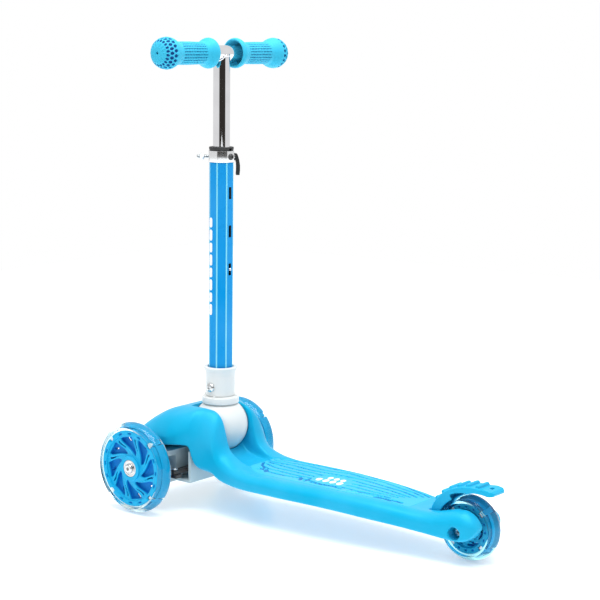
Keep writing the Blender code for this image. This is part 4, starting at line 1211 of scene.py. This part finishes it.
def make_lever():
    """The hollow-backed cam lever and its pin."""
    hinge = (LEVER_PIN_X, SKEWER_Y, SKEWER_HEIGHT)
    outline = arc((LEVER_PIN_X, SKEWER_HEIGHT), 4.6, -115.0, 95.0, 24)
    outline += [(-22.0, 358.2), (-24.2, 351.3), (-25.5, 343.3), (-25.5, 336.8), (-24.9, 330.5)]
    outline += [(-20.4, 330.5), (-20.9, 337.8), (-20.7, 345.8)]
    blade = prism(outline, "Y", SKEWER_Y - 7.0, SKEWER_Y + 7.0)
    lever = build("clamp_lever_blade", blade, "black_plastic", CLAMP)
    cut(lever, box((-21.9, SKEWER_Y - 2.85, 350.0), (-8.0, SKEWER_Y + 2.85, 370.0)), place=CLAMP)
    hollow = [(-23.4, 348.0), (-24.0, 343.0), (-24.0, 336.0), (-23.6, 332.4), (-18.0, 332.4), (-18.0, 348.0)]
    cut(lever, prism(hollow, "Y", SKEWER_Y - 5.2, SKEWER_Y + 5.2), place=CLAMP)
    cut(lever, turned(rod(1.85, -9.0, 9.0), "Y", hinge, 24), place=CLAMP)
    soften(lever, 0.35, 3)
    stands_for(lever, "clamp_lever")
    pin = turned(rounded(rod(1.5, -7.6, 7.6), 0.4, 2, True), "Y", hinge, 24)
    stands_for(build("clamp_lever_pin", pin, "zinc", CLAMP), "lever_pin")


# ---------------------------------------------------------------- handlebar

DOT_ROWS, DOT_PITCH = 24, 3.0
RING_SPOTS, RIDGES = 20, 14
DIMPLE_RINGS = ((6.0, 2.1), (23.0, 2.0), (39.0, 1.6))
DOME_CENTRE, DOME_RADIUS = 102.5, 20.2


def dome_dimple(along, radius, angle):
    """How far inside a dimple of the grip's dome a point is, from 0 to 1."""
    best = 0.0
    tilt = math.degrees(math.atan2(along - DOME_CENTRE, radius))
    for number, (ring, size) in enumerate(DIMPLE_RINGS):
        if abs(tilt - ring) > 9.0:
            continue
        turn = (angle / (2.0 * math.pi) * RING_SPOTS + 0.5 * number) % 1.0 - 0.5
        sideways = turn * 2.0 * math.pi * radius / RING_SPOTS
        lengthways = math.radians(tilt - ring) * DOME_RADIUS
        away = math.hypot(lengthways / (1.25 * size), sideways / size)
        best = max(best, ease((1.2 - away) / 0.4))
    return best


def body_dot(along, angle):
    """How far inside a small dot of the grip's body a point is, from 0 to 1."""
    if not 41.0 < along < 84.0:
        return 0.0
    row = angle / (2.0 * math.pi) * DOT_ROWS
    turn = row % 1.0 - 0.5
    sideways = turn * 2.0 * math.pi * 14.5 / DOT_ROWS
    lengthways = ((along / DOT_PITCH + 0.5 * (int(row) % 2)) % 1.0 - 0.5) * DOT_PITCH
    return ease((1.2 - math.hypot(lengthways / 1.1, sideways / 0.95)) / 0.5)


def grip_relief(radius, along, angle):
    """How far the grip's surface is pushed in by dimples, dots and end ridges."""
    along = abs(along)
    if radius < 8.0 or (along < 41.0 and radius < 13.0):
        return 0.0
    tilt = math.degrees(math.atan2(along - DOME_CENTRE, radius))
    ridges = 1.7 * (0.5 - 0.5 * math.cos(RIDGES * angle)) ** 2 * ease((tilt - 47.0) / 6.0)
    ridges *= ease((radius - 7.5) / 2.5)
    return -1.9 * dome_dimple(along, radius, angle) - 0.9 * body_dot(along, angle) - ridges


def grip_profile(side):
    """Bell, slim body and dome, with an open bore from the inner end."""
    shape = [(10.35, 114.4), (2.5, 114.4), (1.6, 116.0), (1.6, 118.6), (2.4, GRIP_OUTER), (8.0, 119.2)]
    shape += [(12.5, 117.6), (16.4, 114.2), (18.8, 109.8), (20.0, 105.4), (20.2, 101.0), (19.2, 96.0)]
    shape += [(17.0, 91.6), (15.0, 88.8), (14.5, 86.0), (14.6, 64.0), (14.1, 42.0), (14.9, 36.0)]
    shape += [(17.8, 31.6), (19.4, 28.0), (19.6, 25.4), (19.0, 23.0), (17.8, GRIP_INNER)]
    shape += [(16.6, GRIP_INNER), (15.6, 26.0), (12.6, 34.0), (10.35, 38.0)]
    fine = dense(rounded(shape, 2.6, 4), 0.5)
    return [(radius, side * along) for radius, along in fine]


def make_grip(side, word):
    """One grip, with its dimples and dots painted a deep blue as shade."""
    sides = 264
    centre = (0.0, 0.0, BAR_HEIGHT)
    shape = turned(grip_profile(side), "X", centre, sides, relief=grip_relief)
    grip = build("grip_sleeve_" + word, shape, ["grip_blue", "dimple_shade_blue"], STEM, 70.0)
    back = STEM.inverted()
    kinds = []
    for face in grip.data.polygons:
        spot = back @ face.center / MM
        height = spot.z - BAR_HEIGHT
        along, angle = abs(spot.x), math.atan2(height, spot.y) % (2.0 * math.pi)
        radius = math.hypot(spot.y, height)
        # painted shade: faces deep in a dimple or dot take the dark blue
        sunk = radius > 12.2 and (dome_dimple(along, radius, angle) > 0.6 or body_dot(along, angle) > 0.7)
        kinds.append(1 if sunk else 0)
    grip.data.polygons.foreach_set("material_index", kinds)
    stands_for(grip, "grip_" + word)


def make_weld():
    """The beaded weld where the crossbar lies in the top of the stem."""
    saddle = []
    for step in range(96):
        angle = 2.0 * math.pi * step / 96
        y = 10.2 * math.sin(angle)
        drop = math.sqrt(max(BAR_RADIUS ** 2 - min(abs(y), 9.6) ** 2, 0.0))
        saddle.append((11.3 * math.cos(angle), y, BAR_HEIGHT - drop - 0.4))
    bead = swept(saddle, lambda share: 1.25 + 0.25 * math.sin(share * 2.0 * math.pi * 24.0), 10, True)
    goes_with(build("stem_weld_bead", bead, "chrome", STEM, 80.0), "stem_tube")


def make_lock_button():
    """The spring button that holds the handlebar's height, and its leaf spring."""
    button = [(0.0, 17.6), (1.2, 17.3), (2.0, 16.2), (2.0, 9.0), (3.4, 8.2), (3.4, 7.2), (0.0, 7.2)]
    spot = (0.0, 0.0, BUTTON_HEIGHT)
    shape = turned(rounded(button, 0.5, 3, True), "Y", spot, 32)
    stands_for(build("lock_button_stud", shape, "zinc", STEM), "lock_button")
    leaf = [(-8.4, 185.0), (-7.0, 185.0), (6.4, 207.0), (6.4, 213.0), (5.6, 213.0), (-8.4, 188.0)]
    spring = build("button_leaf_spring", prism(rounded(leaf, 0.8, 3), "X", -2.4, 2.4), "zinc", STEM)
    stands_for(bevelled(spring, 0.2), "button_spring")


def make_handlebar():
    """The chrome stem and crossbar with their bush, grips and lock button."""
    wall = rounded(pipe(STEM_BORE, STEM_RADIUS, 100.0, BAR_HEIGHT - 1.0), 0.3, 2)
    stem = build("stem_upper_tube", turned(wall, sides=128), "chrome", STEM)
    cut(stem, turned(rod(BAR_RADIUS + 0.1, -30.0, 30.0), "X", (0.0, 0.0, BAR_HEIGHT), 96), place=STEM)
    cut(stem, turned(rod(2.35, 4.0, 20.0), "Y", (0.0, 0.0, BUTTON_HEIGHT), 24), place=STEM)
    settle(stem)
    stands_for(stem, "stem_tube")
    wall = rounded(pipe(8.2, BAR_RADIUS, -BAR_HALF, BAR_HALF), 0.4, 2)
    bar = turned(wall, "X", (0.0, 0.0, BAR_HEIGHT), 128)
    stands_for(build("crossbar_tube", bar, "chrome", STEM), "crossbar")
    make_weld()
    foot = turned(rounded(pipe(STEM_RADIUS + GAP, 12.85, 92.0, 116.0), 0.4, 2), sides=64)
    stands_for(build("stem_foot_bush", foot, "black_plastic", STEM), "stem_bush")
    for side, word in ((1.0, "left"), (-1.0, "right")):
        make_grip(side, word)
    make_lock_button()


# ---------------------------------------------------------------- stage

CAMERA_SPOT = (1.5672449, 1.25685695, 0.59611917)
CAMERA_AIM = (-0.7658601, -0.62512704, -0.15058051)
CAMERA_LENS = 97.07
ROLL = -0.0018
STUDIO_STRENGTH = 0.8
DARK_WAY, DARK_COSINE = (0.613, 0.790, 0.0), 0.74


def make_floor():
    """A wide pale floor with a soft sheen."""
    size, step = 2200.0, 550.0
    count = int(2 * size / step) + 1
    points = [(-size + step * i, -size + step * j, 0.0) for j in range(count) for i in range(count)]
    build("floor", (points, grid_faces(count, count)), "floor_white")


def step_node(tree, source, low, high):
    """A soft step from 0 to 1 as source rises from low to high."""
    node = tree.nodes.new("ShaderNodeMapRange")
    node.interpolation_type = "SMOOTHSTEP"
    node.inputs["From Min"].default_value = low
    node.inputs["From Max"].default_value = high
    tree.links.new(source, node.inputs["Value"])
    return node.outputs["Result"]


def multiply(tree, first, second):
    """The product of two node outputs."""
    node = tree.nodes.new("ShaderNodeMath")
    node.operation = "MULTIPLY"
    tree.links.new(first, node.inputs[0])
    tree.links.new(second, node.inputs[1])
    return node.outputs[0]


def dark_zone(tree, way, narrow):
    """1 inside a low patch of the studio around a level direction, 0 elsewhere."""
    spot = tree.nodes.new("ShaderNodeTexCoord").outputs["Generated"]
    aim = tree.nodes.new("ShaderNodeVectorMath")
    aim.operation = "DOT_PRODUCT"
    aim.inputs[1].default_value = way
    tree.links.new(spot, aim.inputs[0])
    height = tree.nodes.new("ShaderNodeSeparateXYZ")
    tree.links.new(spot, height.inputs[0])
    ahead = step_node(tree, aim.outputs["Value"], narrow - 0.04, narrow + 0.04)
    return multiply(tree, ahead, step_node(tree, height.outputs["Z"], 0.45, 0.3))


def make_world():
    """A white backdrop, and a softer studio with a dark doorway that lights the scooter."""
    world = bpy.data.worlds.new("studio")
    bpy.context.scene.world = world
    world.use_nodes = True
    tree = world.node_tree
    tree.nodes["Background"].inputs["Color"].default_value = (1.0, 1.0, 1.0, 1.0)
    studio = tree.nodes.new("ShaderNodeBackground")
    studio.inputs["Strength"].default_value = STUDIO_STRENGTH
    shades = tree.nodes.new("ShaderNodeMix")
    shades.data_type = "RGBA"
    shades.inputs["A"].default_value = (1.0, 1.0, 1.0, 1.0)
    shades.inputs["B"].default_value = (0.045, 0.04, 0.035, 1.0)
    tree.links.new(dark_zone(tree, DARK_WAY, DARK_COSINE), shades.inputs["Factor"])
    tree.links.new(shades.outputs["Result"], studio.inputs["Color"])
    seen = tree.nodes.new("ShaderNodeLightPath")
    choice = tree.nodes.new("ShaderNodeMixShader")
    tree.links.new(seen.outputs["Is Camera Ray"], choice.inputs["Fac"])
    tree.links.new(studio.outputs["Background"], choice.inputs[1])
    tree.links.new(tree.nodes["Background"].outputs["Background"], choice.inputs[2])
    tree.links.new(choice.outputs["Shader"], tree.nodes["World Output"].inputs["Surface"])


def area_light(name, spot, aim, size, power):
    """A soft lamp at a spot, aimed at a point."""
    data = bpy.data.lights.new(name, "AREA")
    data.shape = "RECTANGLE"
    data.size, data.size_y = size
    data.energy = power
    light = bpy.data.objects.new(name, data)
    bpy.context.scene.collection.objects.link(light)
    light.location = spot
    light.rotation_euler = (Vector(aim) - Vector(spot)).to_track_quat("-Z", "Y").to_euler()


def make_camera():
    """The camera, behind the scooter on its left and a little above it."""
    data = bpy.data.cameras.new("camera")
    data.lens = CAMERA_LENS
    data.sensor_width = 36.0
    camera = bpy.data.objects.new("camera", data)
    bpy.context.scene.collection.objects.link(camera)
    camera.location = CAMERA_SPOT
    level = Vector(CAMERA_AIM).normalized().to_track_quat("-Z", "Y")
    camera.rotation_mode = "QUATERNION"
    camera.rotation_quaternion = level @ Matrix.Rotation(ROLL, 3, "Z").to_quaternion()
    bpy.context.scene.camera = camera


make_looks()
make_deck()
make_tread()
make_truck()
for way, hand in ((1.0, "left"), (-1.0, "right")):
    make_knuckle(way, hand)
    wheel_centre = FRONT_WHEELS[hand]
    place_wheel(hand, wheel_centre, FRONT_RADIUS, 8, "tyre_clear", way)
    make_bolt("wheel_bolt_" + hand, "axle_bolt_" + hand, wheel_centre, way, -21.0, 10.4, 13.6, 6.2)
place_wheel("rear", REAR_WHEEL, REAR_RADIUS, 6, "tyre_deep", 1.0)
make_tie_rod()
make_rear_axle()
make_brake()
make_head()
make_lower_tube()
make_tube_marks()
make_clamp()
make_handlebar()
make_floor()
make_world()
area_light("overhead", (0.2, 0.2, 2.4), (0.0, 0.0, 0.2), (1.8, 1.8), 62.0)
make_camera()
bpy.context.scene.view_settings.view_transform = "Standard"
